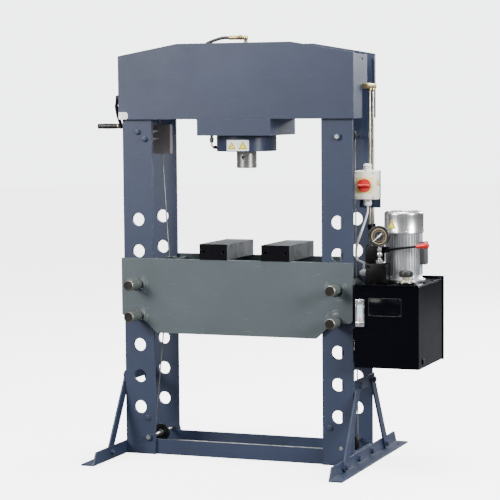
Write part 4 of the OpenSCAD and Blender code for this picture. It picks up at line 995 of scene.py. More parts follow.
for y in pipe_rows:
    inside = pointing((-1, 0, 0), (0.561, y, 1.750))
    hexagon(bm, 0.0220, 0.0150, inside)
    turned(bm, [(0, 0.0148), (0.0092, 0.0148), (0.0096, 0.0160), (0.0096, 0.0225), (0.0086, 0.0235),
                (0, 0.0235)], inside, 28)
hose_fittings = as_piece("hose_fittings", bm, "frame", [brass_plate])
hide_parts("port_fittings")
bm = bmesh.new()
lower = Matrix.Translation((-0.160, -0.045, 0))
turned(bm, [(0, 1.5000), (0.0070, 1.5000), (0.0070, 1.5250), (0, 1.5250)], lower, 28)
hexagon(bm, 0.0190, 0.0120, lower @ Matrix.Translation((0, 0, 1.5010)))
hexagon(bm, 0.0160, 0.0110, lower @ Matrix.Translation((0, 0, 1.4895)))
lower_fittings = as_piece("lower_fittings", bm, "frame", [zinc])
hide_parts("port_fittings")

# black union at the head, black nuts under the pipes and the connector block in the beam's end
bm = bmesh.new()
union_along = pointing((1, 0, 0), (-0.168, -0.045, 1.468))
turned(bm, [(0, 0.0170), (0.0070, 0.0170), (0.0078, 0.0180), (0.0078, 0.0470), (0, 0.0470)], union_along,
       32)
hexagon(bm, 0.0150, 0.0110, union_along @ Matrix.Translation((0, 0, 0.0290)))
for y in pipe_rows:
    hexagon(bm, 0.0215, 0.0160, Matrix.Translation((0.600, y, 1.0940)), 0.1)
    hexagon(bm, 0.0200, 0.0110, Matrix.Translation((0.600, y, 1.0835)) @ Matrix.Rotation(0.5, 4, "Z"), 0.1)
pipe_nuts = as_piece("pipe_nuts", bm, "frame", [black_oxide])
bm = bmesh.new()
block(bm, (0.5602, -0.0393, 1.7382), (0.6088, 0.1098, 1.7618), 0.0016)
for y in pipe_rows:
    turned(bm, [(0.0065, 0), (0.0105, 0), (0.0110, -0.0010), (0.0110, -0.0090), (0.0095, -0.0120),
                (0.0065, -0.0120)],
           Matrix.Translation((0.600, y, 1.7385)), 32)
    hexagon(bm, 0.0170, 0.0022, Matrix.Translation((0.585, y, 1.7616)))
connector_block = as_piece("connector_block", bm, "frame", [brass_plate])
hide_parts("port_fittings")
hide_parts("port_fittings")
nodes["steel_pipes"].material_slots[0].material = pipe_plate

# ---- motor -----------------------------------------------------------------
# A totally enclosed motor: die-cast finned frame on a bell flange, terminal box at the
# right, and a pressed aluminium fan cover with rings of slots in its crown.
cast_aluminium = bright_steel("cast_aluminium", (0.74, 0.75, 0.76), 0.34, (60, 60, 60), 0.25)
pressed_aluminium = bright_steel("pressed_aluminium", (0.80, 0.80, 0.78), 0.22, (26, 26, 3), 0.25)
dark_casting = moulded("dark_casting", (0.060, 0.062, 0.064), 0.50, 0.6)
motor_x = 0.771
lug_circle = 0.0852
fins = 40
motor_stand = Matrix.Translation((motor_x, 0, 0))
bm = bmesh.new()
turned(bm, [(0.0300, 0.8512), (0.0960, 0.8512), (0.0975, 0.8525), (0.0978, 0.8620), (0.0960, 0.8645),
            (0.0880, 0.8660),
            (0.0830, 0.8720), (0.0790, 0.8800), (0.0765, 0.8900), (0.0760, 1.0740), (0.0800, 1.0770),
            (0.0800, 1.0860),
            (0.0540, 1.0860), (0.0540, 0.8700), (0.0300, 0.8700), (0.0300, 0.8512)], motor_stand, 96)
for i in range(fins):
    angle = math.tau * i / fins
    if abs((angle + math.pi) % math.tau - math.pi) < 0.30:
        continue
    made = bmesh.ops.create_cube(bm, size=1, matrix=Matrix.Translation((0.0790, 0, 0.9780))
                                 @ Matrix.Diagonal((0.0150, 0.0060, 0.1900, 1)))["verts"]
    crown = [v for v in made if v.co.x > 0.08]
    bmesh.ops.scale(bm, verts=crown, vec=(1, 0.62, 1))
    bmesh.ops.transform(bm, verts=made, matrix=motor_stand @ Matrix.Rotation(angle, 4, "Z"))
for i in range(4):
    lug = motor_stand @ Matrix.Rotation(math.radians(45 + 90 * i), 4, "Z")
    bmesh.ops.create_cone(bm, cap_ends=True, segments=24, radius1=0.0125, radius2=0.0110, depth=0.013,
                          matrix=lug @ Matrix.Translation((lug_circle, 0, 0.8592)))
motor_frame = as_piece("motor_frame", bm, "frame", [cast_aluminium])
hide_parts("motor_body")

bm = bmesh.new()
for i in range(4):
    angle = math.radians(45 + 90 * i)
    x = motor_x + lug_circle * math.cos(angle)
    y = lug_circle * math.sin(angle)
    turned(bm, [(0, 0), (0.0085, 0), (0.0085, 0.0016), (0, 0.0016)], Matrix.Translation((x, y, 0.8657)), 24)
    hexagon(bm, 0.013, 0.007, Matrix.Translation((x, y, 0.8672)) @ Matrix.Rotation(angle, 4, "Z"))
for i in range(4):
    angle = math.radians(22 + 90 * i)
    out_of = (math.cos(angle), math.sin(angle), 0)
    turned(bm, [(0, 0), (0.0042, 0), (0.0040, 0.0012), (0.0024, 0.0022), (0, 0.0024)],
           pointing(out_of, (motor_x + 0.0907 * out_of[0], 0.0907 * out_of[1], 1.084)), 20)
motor_screws = as_piece("motor_screws", bm, "frame", [chrome])

# terminal box: a ribbed casting with a screwed lid
bm = bmesh.new()
block(bm, (motor_x + 0.066, -0.016, 0.932), (motor_x + 0.0955, 0.040, 1.034), 0.004, 3)
block(bm, (motor_x + 0.0950, -0.018, 0.930), (motor_x + 0.1050, 0.042, 1.036), 0.0035, 3)
for y in (-0.009, 0.033):
    for z in (0.939, 1.027):
        turned(bm, [(0, 0), (0.0034, 0), (0.0032, 0.0008), (0, 0.0010)],
               pointing((1, 0, 0), (motor_x + 0.1044, y, z)), 16)
terminal_box = as_piece("terminal_box", bm, "frame", [dark_casting])
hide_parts("motor_body")

# fan cover: rolled shoulder, a beaded rim, and rings of slots sunk 3 mm into the crown, their floors black
# as painted shade for the dark inside seen through open slots
bm = bmesh.new()
shoulder = [(0.0790 + 0.0120 * math.cos(a),
             1.1628 + 0.0120 * math.sin(a)) for a in (math.radians(15 * i) for i in range(7))]
turned(bm, [(0.0890, 1.0760), (0.0905, 1.0760), (0.0910, 1.0772), (0.0910, 1.0800), (0.0904, 1.0812),
            (0.0904, 1.1560)]
       + shoulder + [(0.0790, 1.1748), (0.0740, 1.1748), (0.0730, 1.1738), (0.0690, 1.1738),
                     (0.0640, 1.1738),
                     (0.0560, 1.1738), (0.0510, 1.1738), (0.0430, 1.1738), (0.0380, 1.1738),
                     (0.0300, 1.1738),
                     (0.0250, 1.1738), (0.0180, 1.1738), (0.0170, 1.1745), (0, 1.1748)],
       motor_stand, 96)
slots = []
for face in bm.faces:
    middle = face.calc_center_median() - Vector((motor_x, 0, 0))
    reach = math.hypot(middle.x, middle.y)
    step = int(round(math.degrees(math.atan2(middle.y, middle.x)) / 3.75))
    ring = any(abs(reach - r) < 0.0020 for r in (0.0665, 0.0600, 0.0470, 0.0340, 0.0215))
    if abs(middle.z - 1.1738) < 1e-4 and ring and step % 8 not in (0, 1):
        slots.append(face)
pressed = pushed_out(bm, slots, (0, 0, -0.0030))
bmesh.ops.delete(bm, geom=slots, context="FACES")
# the sunk slot floors get the black finish: painted shade in place of open slots
for g in pressed:
    if isinstance(g, bmesh.types.BMFace):
        g.material_index = 1
fan_cover = as_piece("fan_cover", bm, "frame", [pressed_aluminium, black_oxide])
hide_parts("motor_hood")

# blank yellow triangle on the fan cover
bm = bmesh.new()
for size, lift, index in ((0.0275, 0.0004, 0), (0.0240, 0.0006, 1), (0.0190, 0.0008, 0)):
    stuck_round(bm, triangle(size, 0, 1.112), (motor_x, 0), 0.0904 + lift, math.radians(-112), index)
motor_sticker = as_piece("motor_sticker", bm, "frame", [sticker_yellow, sticker_black])

# ---- tank fittings ---------------------------------------------------------
# The lid is held by small screws over a cork gasket; a blank plate is riveted to the
# front, and a drain plug closes the bottom of the right side.
bm = bmesh.new()
block(bm, (0.6645, -0.2112, 0.7120), (0.8180, -0.2098, 0.7880), 0.0006)
name_plate = as_piece("name_plate", bm, "frame", [tank_paint])
bm = bmesh.new()
for left, right, low, high in ((0.6640, 0.8190, 0.7890, 0.7908), (0.6640, 0.8190, 0.7092, 0.7110),
                               (0.6640, 0.6656, 0.7092, 0.7908), (0.8174, 0.8190, 0.7092, 0.7908)):
    block(bm, (left, -0.2120, low), (right, -0.2098, high), 0.0004, 1)
for x in (0.6700, 0.8130):
    for z in (0.7165, 0.7835):
        turned(bm, [(0, 0), (0.0026, 0), (0.0024, 0.0010), (0, 0.0014)],
               pointing((0, -1, 0), (x, -0.2112, z)), 16)
plate_rim = as_piece("plate_rim", bm, "frame", [dark_steel])

bm = bmesh.new()
long_sides = [(x, y, x * 40) for x in (0.609, 0.694, 0.802, 0.887) for y in (-0.2050, 0.1900)]
short_sides = [(x, y, y * 40) for y in (-0.07, 0.07) for x in (0.609, 0.887)]
for x, y, turn in long_sides + short_sides:
    hexagon(bm, 0.0100, 0.0045, Matrix.Translation((x, y, 0.8522)) @ Matrix.Rotation(turn, 4, "Z"))
    turned(bm, [(0, 0.8508), (0.0072, 0.8508), (0.0072, 0.8524), (0, 0.8524)],
           Matrix.Translation((x, y, 0)), 20)
turned(bm, [(0, 0), (0.0150, 0), (0.0150, 0.0025), (0, 0.0025)],
       pointing((1, 0, 0), (0.8998, -0.140, 0.500)), 32)
hexagon(bm, 0.0220, 0.0023, pointing((1, 0, 0), (0.9022, -0.140, 0.500)))
lid_screws = as_piece("lid_screws", bm, "frame", [tank_paint])

# ---- sight gauge -----------------------------------------------------------
# A plated frame with a clear tube over a white back, a thermometer column and two
# banjo bolts into the tank.


def clear(name, colour, cover):
    """Clear glass or tube: mostly see-through, with a polished skin and faint finger smears."""
    material = bpy.data.materials.new(name)
    material.use_nodes = True
    tree = material.node_tree
    tree.nodes.clear()
    place = tree.nodes.new("ShaderNodeTexCoord")
    place.label = "place on the glass"
    smear = tree.nodes.new("ShaderNodeTexNoise")
    smear.label = "finger smears"
    smear.inputs["Scale"].default_value = 45
    smear.inputs["Detail"].default_value = 4
    shine = tree.nodes.new("ShaderNodeMapRange")
    shine.label = "polish under the smears"
    shine.inputs["To Min"].default_value = 0.03
    shine.inputs["To Max"].default_value = 0.16
    tint = tree.nodes.new("ShaderNodeMix")
    tint.label = "glass tint and dust"
    tint.data_type = "RGBA"
    tint.inputs["A"].default_value = (*colour, 1)
    tint.inputs["B"].default_value = (0.30, 0.30, 0.30, 1)
    ripple = tree.nodes.new("ShaderNodeBump")
    ripple.label = "slight ripple"
    ripple.inputs["Strength"].default_value = 0.04
    ripple.inputs["Distance"].default_value = 0.0005
    glass = tree.nodes.new("ShaderNodeBsdfPrincipled")
    glass.label = "clear glass"
    glass.inputs["Alpha"].default_value = cover
    glass.inputs["IOR"].default_value = 1.5
    glass.inputs["Specular IOR Level"].default_value = 0.15
    out = tree.nodes.new("ShaderNodeOutputMaterial")
    out.label = "finished glass"
    group = tree.nodes.new("NodeFrame")
    group.label = "smears and ripple"
    for i, n in enumerate((smear, shine, tint, ripple)):
        n.parent = group
        n.location = (i * 210, 0)
    place.location = (-260, 0)
    glass.location = (1000, 0)
    out.location = (1300, 0)
    tree.links.new(place.outputs["Object"], smear.inputs["Vector"])
    tree.links.new(smear.outputs["Fac"], shine.inputs["Value"])
    tree.links.new(shine.outputs["Result"], glass.inputs["Roughness"])
    tree.links.new(smear.outputs["Fac"], tint.inputs["Factor"])
    tree.links.new(tint.outputs["Result"], glass.inputs["Base Color"])
    tree.links.new(smear.outputs["Fac"], ripple.inputs["Height"])
    tree.links.new(ripple.outputs["Normal"], glass.inputs["Normal"])
    tree.links.new(glass.outputs["BSDF"], out.inputs["Surface"])
    return material


sight_blue = moulded("sight_blue", (0.70, 0.86, 0.92), 0.40, 0.02)
sight_red = moulded("sight_red", (0.80, 0.30, 0.26), 0.40, 0.02)
clear_glass = clear("clear_glass", (0.10, 0.12, 0.13), 0.05)
bm = bmesh.new()
block(bm, (0.6050, -0.2180, 0.6590), (0.6470, -0.2098, 0.7850), 0.0038, 4)
for low in (0.7620, 0.6590):
    block(bm, (0.6050, -0.2255, low), (0.6470, -0.2175, low + 0.0230), 0.0035, 4)
for left in (0.6050, 0.6435):
    block(bm, (left, -0.2215, 0.6800), (left + 0.0035, -0.2175, 0.7640), 0.0012)
for z in (0.671, 0.773):
    hexagon(bm, 0.0140, 0.0023, pointing((0, -1, 0), (0.626, -0.2254, z)))
sight_frame = as_piece("sight_frame", bm, "frame", [chrome])
bm = bmesh.new()
block(bm, (0.6140, -0.2190, 0.6825), (0.6380, -0.2176, 0.7615), 0.0005, 1)
sight_back = as_piece("sight_back", bm, "frame", [sight_blue])
bm = bmesh.new()
block(bm, (0.6215, -0.2205, 0.6840), (0.6305, -0.2188, 0.7030), 0.0008)
sight_column = as_piece("sight_column", bm, "frame", [sight_red])
bm = bmesh.new()
turned(bm, [(0, 0.6822), (0.0082, 0.6822), (0.0082, 0.7618), (0, 0.7618)],
       Matrix.Translation((0.626, -0.2170, 0)), 32)
sight_tube = as_piece("sight_tube", bm, "frame", [clear_glass])
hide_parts("level_gauge")
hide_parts("level_gauge")

# ---- filler cap ------------------------------------------------------------
# A plated strainer flange screwed to the lid, and a fluted black breather cap on a
# plated neck that lifts out of it.
filler_x, filler_y, filler_z = 0.826, -0.155, 0.851
filler = Matrix.Translation((filler_x, filler_y, filler_z))
screw_circle = 0.0375
bm = bmesh.new()
turned(bm, [(0.0245, 0.0090), (0.0330, 0.0090), (0.0405, 0.0090), (0.0418, 0.0082), (0.0420, 0.0070)],
       filler, 64)
for i in range(6):
    angle = math.radians(60 * i + 12)
    turned(bm, [(0, 0.0088), (0.0036, 0.0088), (0.0034, 0.0102), (0, 0.0108)],
           filler @ Matrix.Translation((screw_circle * math.cos(angle), screw_circle * math.sin(angle), 0)),
           16)
filler_flange = as_piece("filler_flange", bm, "frame", [zinc])
bm = bmesh.new()
turned(bm, [(0, -0.020), (0.0198, -0.020), (0.0198, 0.0096), (0.0325, 0.0096), (0.0330, 0.0102),
            (0.0330, 0.0160),
            (0.0322, 0.0170), (0.0175, 0.0176), (0.0160, 0.0190), (0.0160, 0.0320), (0.0230, 0.0350),
            (0, 0.0350)],
       filler, 64)
filler_neck = as_piece("filler_neck", bm, "filler", [pipe_plate])
bm = bmesh.new()
turned(bm, [(0, 0.0345), (0.0275, 0.0345), (0.0292, 0.0358), (0.0298, 0.0380), (0.0298, 0.0570),
            (0.0290, 0.0600),
            (0.0268, 0.0625), (0.0225, 0.0640), (0.0120, 0.0647), (0, 0.0648)], filler, 72)
flutes = []
for face in bm.faces:
    middle = face.calc_center_median()
    step = int(round(math.degrees(math.atan2(middle.y - filler_y, middle.x - filler_x)) / 5))
    if abs(middle.z - filler_z - 0.0475) < 0.003 and step % 3 == 0:
        flutes.append(face)
bmesh.ops.inset_individual(bm, faces=flutes, thickness=0.0004, depth=-0.0016)
filler_knob = as_piece("filler_knob", bm, "filler", [black_plastic])
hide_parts("filler_cap")
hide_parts("filler_cap")

# ---- pressure gauge --------------------------------------------------------
# A 100 mm Bourdon gauge in a black pressed case: rolled bezel, flat glass, a dial
# with two printed scales and a white pointer that rests at its zero stop.
gauge_black = moulded("gauge_black", (0.003, 0.003, 0.003), 0.30, 0.05)
dial_print = moulded("dial_print", (0.46, 0.33, 0.16), 0.60, 0.03, 0.0002)
needle_white = moulded("needle_white", (0.95, 0.95, 0.93), 0.40, 0.02, 0.0002)
gauge_centre = Vector((0.700, -0.1515, 1.068))
gauge_front = pointing((0, -1, 0), gauge_centre)
bm = bmesh.new()
turned(bm, [(0, -0.0168), (0.036, -0.0168), (0.043, -0.0150), (0.0465, -0.0110), (0.0470, 0.0060),
            (0.0485, 0.0080),
            (0.0489, 0.0110), (0.0489, 0.0150), (0.0482, 0.0166), (0.0465, 0.0170), (0.0446, 0.0163),
            (0.0436, 0.0148),
            (0.0432, 0.0120), (0.0430, 0.0090), (0, 0.0090)], gauge_front, 72)
turned(bm, [(0, 0.0089), (0.0040, 0.0089), (0.0040, 0.0132), (0.0030, 0.0140), (0, 0.0140)], gauge_front,
       24)
gauge_case = as_piece("gauge_body", bm, "frame", [gauge_black])
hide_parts("gauge_case")

# the printed face: a pale ring scale over black, with long and short marks
bm = bmesh.new()
turned(bm, [(0.0328, 0.00925), (0.0362, 0.00925)], gauge_front, 72)
turned(bm, [(0.0232, 0.00925), (0.0242, 0.00925)], gauge_front, 72)
long_mark = (0.0300, 0.0014, 0.0044)
short_mark = (0.0309, 0.0007, 0.0026)
inner_mark = (0.0250, 0.0014, 0.0042)
marks = [(i / 50, long_mark if i % 5 == 0 else short_mark) for i in range(51)]
marks += [(i / 8, inner_mark) for i in range(9)]
for share, (reach, width, length) in marks:
    turn = gauge_front @ Matrix.Rotation(math.radians(-135 + 270 * share), 4, "Z")
    printed = turn @ Matrix.Translation((0, reach, 0.00928)) @ Matrix.Diagonal((width, length, 1, 1))
    bmesh.ops.create_grid(bm, x_segments=1, y_segments=1, size=0.5, matrix=printed)
gauge_scale = as_piece("gauge_scale", bm, "frame", [dial_print])

# pointer with its counterweight and boss
bm = bmesh.new()
pointer = gauge_front @ Matrix.Translation((0, 0, 0.0143))
made = bmesh.ops.create_cone(bm, cap_ends=True, segments=4, radius1=0.0034, radius2=0.0012, depth=0.058,
                             matrix=Matrix.Translation((0, 0, 0.0090)))["verts"]
bmesh.ops.transform(bm, verts=made, matrix=Matrix.Rotation(math.radians(90), 4, "Y"))
bmesh.ops.scale(bm, verts=made, vec=(1, 1, 0.14))
bmesh.ops.transform(bm, verts=made, matrix=pointer @ Matrix.Rotation(math.radians(222), 4, "Z"))
turned(bm, [(0, -0.001), (0.0052, -0.001), (0.0052, 0.0006), (0.0044, 0.0014), (0, 0.0014)], pointer, 24)
gauge_pointer = as_piece("gauge_pointer", bm, "needle", [needle_white])
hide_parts("gauge_needle")

bm = bmesh.new()
turned(bm, [(0, 0.0159), (0.0437, 0.0159), (0.0437, 0.0164), (0, 0.0164)], gauge_front, 64)
gauge_glass = as_piece("gauge_glass", bm, "frame", [clear_glass])

# ---- switch ----------------------------------------------------------------
# A pale moulded enclosure in two halves with four lid screws, a yellow escutcheon and a
# red turning handle; it stands on a steel plate beside the post.
yellow_plastic = moulded("yellow_plastic", (0.95, 0.78, 0.22), 0.35, 0.1)
bm = bmesh.new()
block(bm, (0.5630, -0.0780, 1.2300), (0.6630, -0.0220, 1.3630), 0.0030, 3)
block(bm, (0.5640, -0.1000, 1.2310), (0.6620, -0.0772, 1.3620), 0.0035, 3)
switch_body = as_piece("switch_body", bm, "frame", [pale_plastic])
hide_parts("switch_box")
bm = bmesh.new()
for x in (0.5710, 0.6550):
    for z in (1.2385, 1.3545):
        turned(bm, [(0.0046, 0), (0.0046, 0.0006), (0.0040, 0.0010), (0.0034, 0.0004), (0.0034, -0.0006),
                    (0, -0.0006)],
               pointing((0, -1, 0), (x, -0.1001, z)), 20)
        block(bm, (x - 0.0026, -0.1004, z - 0.0004), (x + 0.0026, -0.0998, z + 0.0004), 0.0001, 1)
switch_screws = as_piece("switch_screws", bm, "frame", [dark_steel])

knob_x, knob_z = 0.613, 1.2965
switch_front = pointing((0, -1, 0), (knob_x, -0.100, knob_z))
bm = bmesh.new()
block(bm, (0.5770, -0.1024, 1.2605), (0.6490, -0.1003, 1.3325), 0.0009)
for face in [f for f in bm.faces if f.normal.y < -0.9 and f.calc_area() > 0.003]:
    bmesh.ops.inset_region(bm, faces=[face], thickness=0.002, depth=0.0003)
switch_plate = as_piece("switch_plate", bm, "knob", [yellow_plastic])
bm = bmesh.new()
turned(bm, [(0, 0.0026), (0.0300, 0.0026), (0.0306, 0.0032), (0.0308, 0.0090), (0.0298, 0.0112),
            (0.0270, 0.0120),
            (0.0262, 0.0114), (0.0262, 0.0100), (0, 0.0100)], switch_front, 72)
made = bmesh.ops.create_cube(bm, size=1, matrix=Matrix.Translation((knob_x, -0.1185, knob_z))
                             @ Matrix.Diagonal((0.0560, 0.0200, 0.0150, 1)))["verts"]
for v in made:
    if v.co.y < -0.12:
        v.co.z = knob_z + (v.co.z - knob_z) * 0.62
        v.co.x = knob_x + (v.co.x - knob_x) * 0.94
bmesh.ops.bevel(bm, geom=list(dict.fromkeys(e for v in made for e in v.link_edges)), offset=0.0032,
                affect="EDGES", segments=3, profile=0.5, material=-1)
switch_handle = as_piece("switch_handle", bm, "knob", [red_plastic])
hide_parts("switch_knob")
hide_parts("switch_knob")

bm = bmesh.new()
for size, x, index in ((0.0250, 0.6634, 0), (0.0215, 0.6637, 1), (0.0165, 0.6640, 0)):
    corners = [bm.verts.new((x, y, z)) for y, z in triangle(size, -0.0500, 1.3060)]
    bm.faces.new(corners).material_index = index
side_sticker = as_piece("side_sticker", bm, "frame", [sticker_yellow, sticker_black])

# cable glands: a hexagon foot, a fluted dome nut and a sealing collar
bm = bmesh.new()
gland_x, gland_y = 0.616, -0.061
gland_profile = ((0, 0.0078), (0.0150, 0.0078), (0.0195, 0.0090), (0.0200, 0.0105), (0.0200, 0.0215),
                 (0.0190, 0.0250),
                 (0.0160, 0.0285), (0.0125, 0.0310), (0.0112, 0.0318), (0.0090, 0.0318), (0.0085, 0.0290),
                 (0, 0.0290))
for height, way, shrink in ((1.363, 1, 1.0), (1.230, -1, 0.96)):
    foot = pointing((0, 0, way), (gland_x, gland_y, height))
    hexagon(bm, 0.0370 * shrink, 0.0080, foot)
    before = set(bm.faces)
    turned(bm, [(r * shrink, h) for r, h in gland_profile], foot, 72)
    flutes = []
    for face in [f for f in bm.faces if f not in before and f.calc_area() > 1.2e-5]:
        middle = face.calc_center_median()
        step = int(round(math.degrees(math.atan2(middle.y - gland_y, middle.x - gland_x)) / 5))
        if abs((foot.inverted() @ middle).z - 0.0160) < 0.002 and step % 3:
            flutes.append(face)
    bmesh.ops.inset_individual(bm, faces=flutes, thickness=0.0002, depth=0.0007)
gland_nuts = as_piece("gland_nuts", bm, "frame", [white_plastic])
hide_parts("cable_glands")

# the plug on the valve's coil, with its screw and cable nut
bm = bmesh.new()
block(bm, (0.5880, -0.1020, 0.8840), (0.6220, -0.0740, 0.9040), 0.0035, 3)
block(bm, (0.5940, -0.0980, 0.8800), (0.6200, -0.0780, 0.8860), 0.0015)
turned(bm, [(0, 0.9030), (0.0110, 0.9030), (0.0110, 0.9060), (0.0090, 0.9085), (0.0060, 0.9085),
            (0.0055, 0.9070), (0, 0.9070)],
       Matrix.Translation((0.604, -0.088, 0)), 32)
turned(bm, [(0, 0), (0.0040, 0), (0.0038, 0.0016), (0, 0.0020)],
       pointing((0, -1, 0), (0.6140, -0.1018, 0.894)), 20)
cable_plug = as_piece("cable_plug", bm, "frame", [white_plastic])
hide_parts("cable_glands")

# ---- control cable ---------------------------------------------------------
# A pale sheathed control cable, 10 mm across, from the gland below the switch to the
# plug at the valve; its sheath hangs in one easy bend against the post's edge.
cable_route = [(0.616, -0.061, 1.1959), (0.616, -0.061, 1.184), (0.614, -0.062, 1.166),
               (0.604, -0.066, 1.130),
               (0.592, -0.072, 1.090), (0.580, -0.078, 1.052), (0.571, -0.082, 1.020),
               (0.567, -0.084, 0.990),
               (0.569, -0.085, 0.965), (0.579, -0.086, 0.949), (0.594, -0.087, 0.944),
               (0.605, -0.088, 0.938),
               (0.606, -0.088, 0.927), (0.604, -0.088, 0.917), (0.604, -0.088, 0.9081)]
bm = bmesh.new()
swept(bm, smooth_route(cable_route, 5), 0.0050, 24)
cable_sheath = as_piece("cable_sheath", bm, "frame", [white_plastic])
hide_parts("control_cable")

# ---- table pins ------------------------------------------------------------
# Four 50 mm bars, sprayed with the table and knocked bare again along their sides. The
# turned chamfer shines, and the sawn front ends are dark with old scale.
pin_side = painted_steel("pin_scuffed_paint", (0.085, 0.094, 0.090), (0.42, 0.41, 0.36), 0.40, 1.7)
pin_scale = bright_steel("pin_end_scale", (0.040, 0.036, 0.033), 0.55, (60, 60, 60), 0.7)
pin_rim = bright_steel("pin_rim", (0.30, 0.29, 0.26), 0.40, (60, 60, 60), 0.9)
for name in ("pin_upper_left", "pin_lower_left", "pin_upper_right", "pin_lower_right"):
    low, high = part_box(name)
    x = (low[0] + high[0]) / 2
    z = (low[2] + high[2]) / 2
    along = pointing((0, -1, 0), (x, high[1], z))
    length = high[1] - low[1]
    bm = bmesh.new()
    turned(bm, [(0, 0.0005), (0.0215, 0.0005), (0.0248, 0.0035), (0.0248, length - 0.0040),
                (0.0240, length - 0.0032),
                (0.0218, length - 0.0010), (0.0206, length - 0.0004), (0.0200, length - 0.0010),
                (0.0100, length - 0.0014),
                (0, length - 0.0008)], along, 56)
    for face in bm.faces:
        depth = face.calc_center_median().y - low[1]
        if depth < 0.0037:
            face.material_index = 2 if depth < 0.0013 else 1
    bar = as_piece(name + "_bar", bm, name, [pin_side, pin_rim, pin_scale])
    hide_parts(name)

# rings scored into the paint round the pin holes by the hammer and the pins' burrs
tree = table_paint.node_tree
paint = next(n for n in tree.nodes if n.label == "shop paint")
worn_tone = next(n for n in tree.nodes if n.label == "primer and steel through the coat")
place = next(n for n in tree.nodes if n.label == "place on the steel")
axes = tree.nodes.new("ShaderNodeSeparateXYZ")
axes.label = "along and up the plate"
ring_parts = [axes]
offsets = []
pin_half_span = 0.498
pin_rows_middle = 0.7463
pin_rows_half = 0.075
for axis, middle, half in (("X", 0.0, pin_half_span), ("Z", pin_rows_middle, pin_rows_half)):
    centred = tree.nodes.new("ShaderNodeMath")
    centred.label = "from the middle of the four pins"
    centred.operation = "SUBTRACT"
    centred.inputs[1].default_value = middle
    folded = tree.nodes.new("ShaderNodeMath")
    folded.label = "same on both sides"
    folded.operation = "ABSOLUTE"
    offset = tree.nodes.new("ShaderNodeMath")
    offset.label = "distance from the pin"
    offset.operation = "SUBTRACT"
    offset.inputs[1].default_value = half
    square = tree.nodes.new("ShaderNodeMath")
    square.label = "squared"
    square.operation = "POWER"
    square.inputs[1].default_value = 2
    tree.links.new(axes.outputs[axis], centred.inputs[0])
    tree.links.new(centred.outputs["Value"], folded.inputs[0])
    tree.links.new(folded.outputs["Value"], offset.inputs[0])
    positive = tree.nodes.new("ShaderNodeMath")
    positive.label = "without its sign"
    positive.operation = "ABSOLUTE"
    tree.links.new(offset.outputs["Value"], positive.inputs[0])
    tree.links.new(positive.outputs["Value"], square.inputs[0])
    ring_parts += [centred, folded, offset, positive, square]
    offsets.append(square)
total = tree.nodes.new("ShaderNodeMath")
total.label = "both together"
total.operation = "ADD"
reach = tree.nodes.new("ShaderNodeMath")
reach.label = "radius round the pin"
reach.operation = "SQRT"
wander = tree.nodes.new("ShaderNodeTexNoise")
wander.label = "blows wander and chip"
wander.inputs["Scale"].default_value = 34
wander.inputs["Detail"].default_value = 5
wander_amount = tree.nodes.new("ShaderNodeMath")
wander_amount.label = "how far they wander"
wander_amount.operation = "MULTIPLY"
wander_amount.inputs[1].default_value = 0.022
bent_reach = tree.nodes.new("ShaderNodeMath")
bent_reach.label = "uneven radius"
bent_reach.operation = "ADD"
ring = tree.nodes.new("ShaderNodeValToRGB")
ring.label = "scored rings"
ring.color_ramp.elements[0].position = 0.0
ring.color_ramp.elements[0].color = (0, 0, 0, 1)
ring.color_ramp.elements[1].position = 1.0
ring.color_ramp.elements[1].color = (0, 0, 0, 1)
for position, strength in ((0.440, 0), (0.470, 0.5), (0.500, 0.1), (0.560, 0.05), (0.600, 0.9),
                           (0.640, 0.1), (0.720, 0.04),
                           (0.750, 0.6), (0.775, 0.05), (0.860, 0.0)):
    element = ring.color_ramp.elements.new(position)
    element.color = (strength, strength, strength, 1)
spread = tree.nodes.new("ShaderNodeMath")
spread.label = "up to 80 mm from the pin"
spread.operation = "MULTIPLY"
spread.inputs[1].default_value = 12.0
chips = tree.nodes.new("ShaderNodeTexNoise")
chips.label = "only where the hammer landed"
chips.inputs["Scale"].default_value = 21
chips.inputs["Detail"].default_value = 4
chips_cut = tree.nodes.new("ShaderNodeMapRange")
chips_cut.label = "broken arcs"
chips_cut.inputs["From Min"].default_value = 0.50
chips_cut.inputs["From Max"].default_value = 0.66
broken = tree.nodes.new("ShaderNodeMath")
broken.label = "broken scored rings"
broken.operation = "MULTIPLY"
rubbed = tree.nodes.new("ShaderNodeMix")
rubbed.label = "bright scoring on the plate"
rubbed.data_type = "RGBA"
rubbed.inputs["B"].default_value = (0.36, 0.36, 0.32, 1)
ring_parts += [total, reach, wander, wander_amount, bent_reach, spread, ring, chips, chips_cut, broken,
               rubbed]
group = tree.nodes.new("NodeFrame")
group.label = "scoring round the pins"
for i, n in enumerate(ring_parts):
    n.parent = group
    n.location = (i * 210, -1150)
tree.links.new(place.outputs["Object"], axes.inputs["Vector"])
tree.links.new(offsets[0].outputs["Value"], total.inputs[0])
tree.links.new(offsets[1].outputs["Value"], total.inputs[1])
tree.links.new(total.outputs["Value"], reach.inputs[0])
tree.links.new(place.outputs["Object"], wander.inputs["Vector"])
tree.links.new(wander.outputs["Fac"], wander_amount.inputs[0])
tree.links.new(reach.outputs["Value"], bent_reach.inputs[0])
tree.links.new(wander_amount.outputs["Value"], bent_reach.inputs[1])
tree.links.new(bent_reach.outputs["Value"], spread.inputs[0])
tree.links.new(spread.outputs["Value"], ring.inputs["Fac"])
tree.links.new(place.outputs["Object"], chips.inputs["Vector"])
tree.links.new(chips.outputs["Fac"], chips_cut.inputs["Value"])
tree.links.new(ring.outputs["Color"], broken.inputs[0])
tree.links.new(chips_cut.outputs["Result"], broken.inputs[1])
tree.links.new(broken.outputs["Value"], rubbed.inputs["Factor"])
tree.links.new(worn_tone.outputs["Result"], rubbed.inputs["A"])
tree.links.new(rubbed.outputs["Result"], paint.inputs["Base Color"])

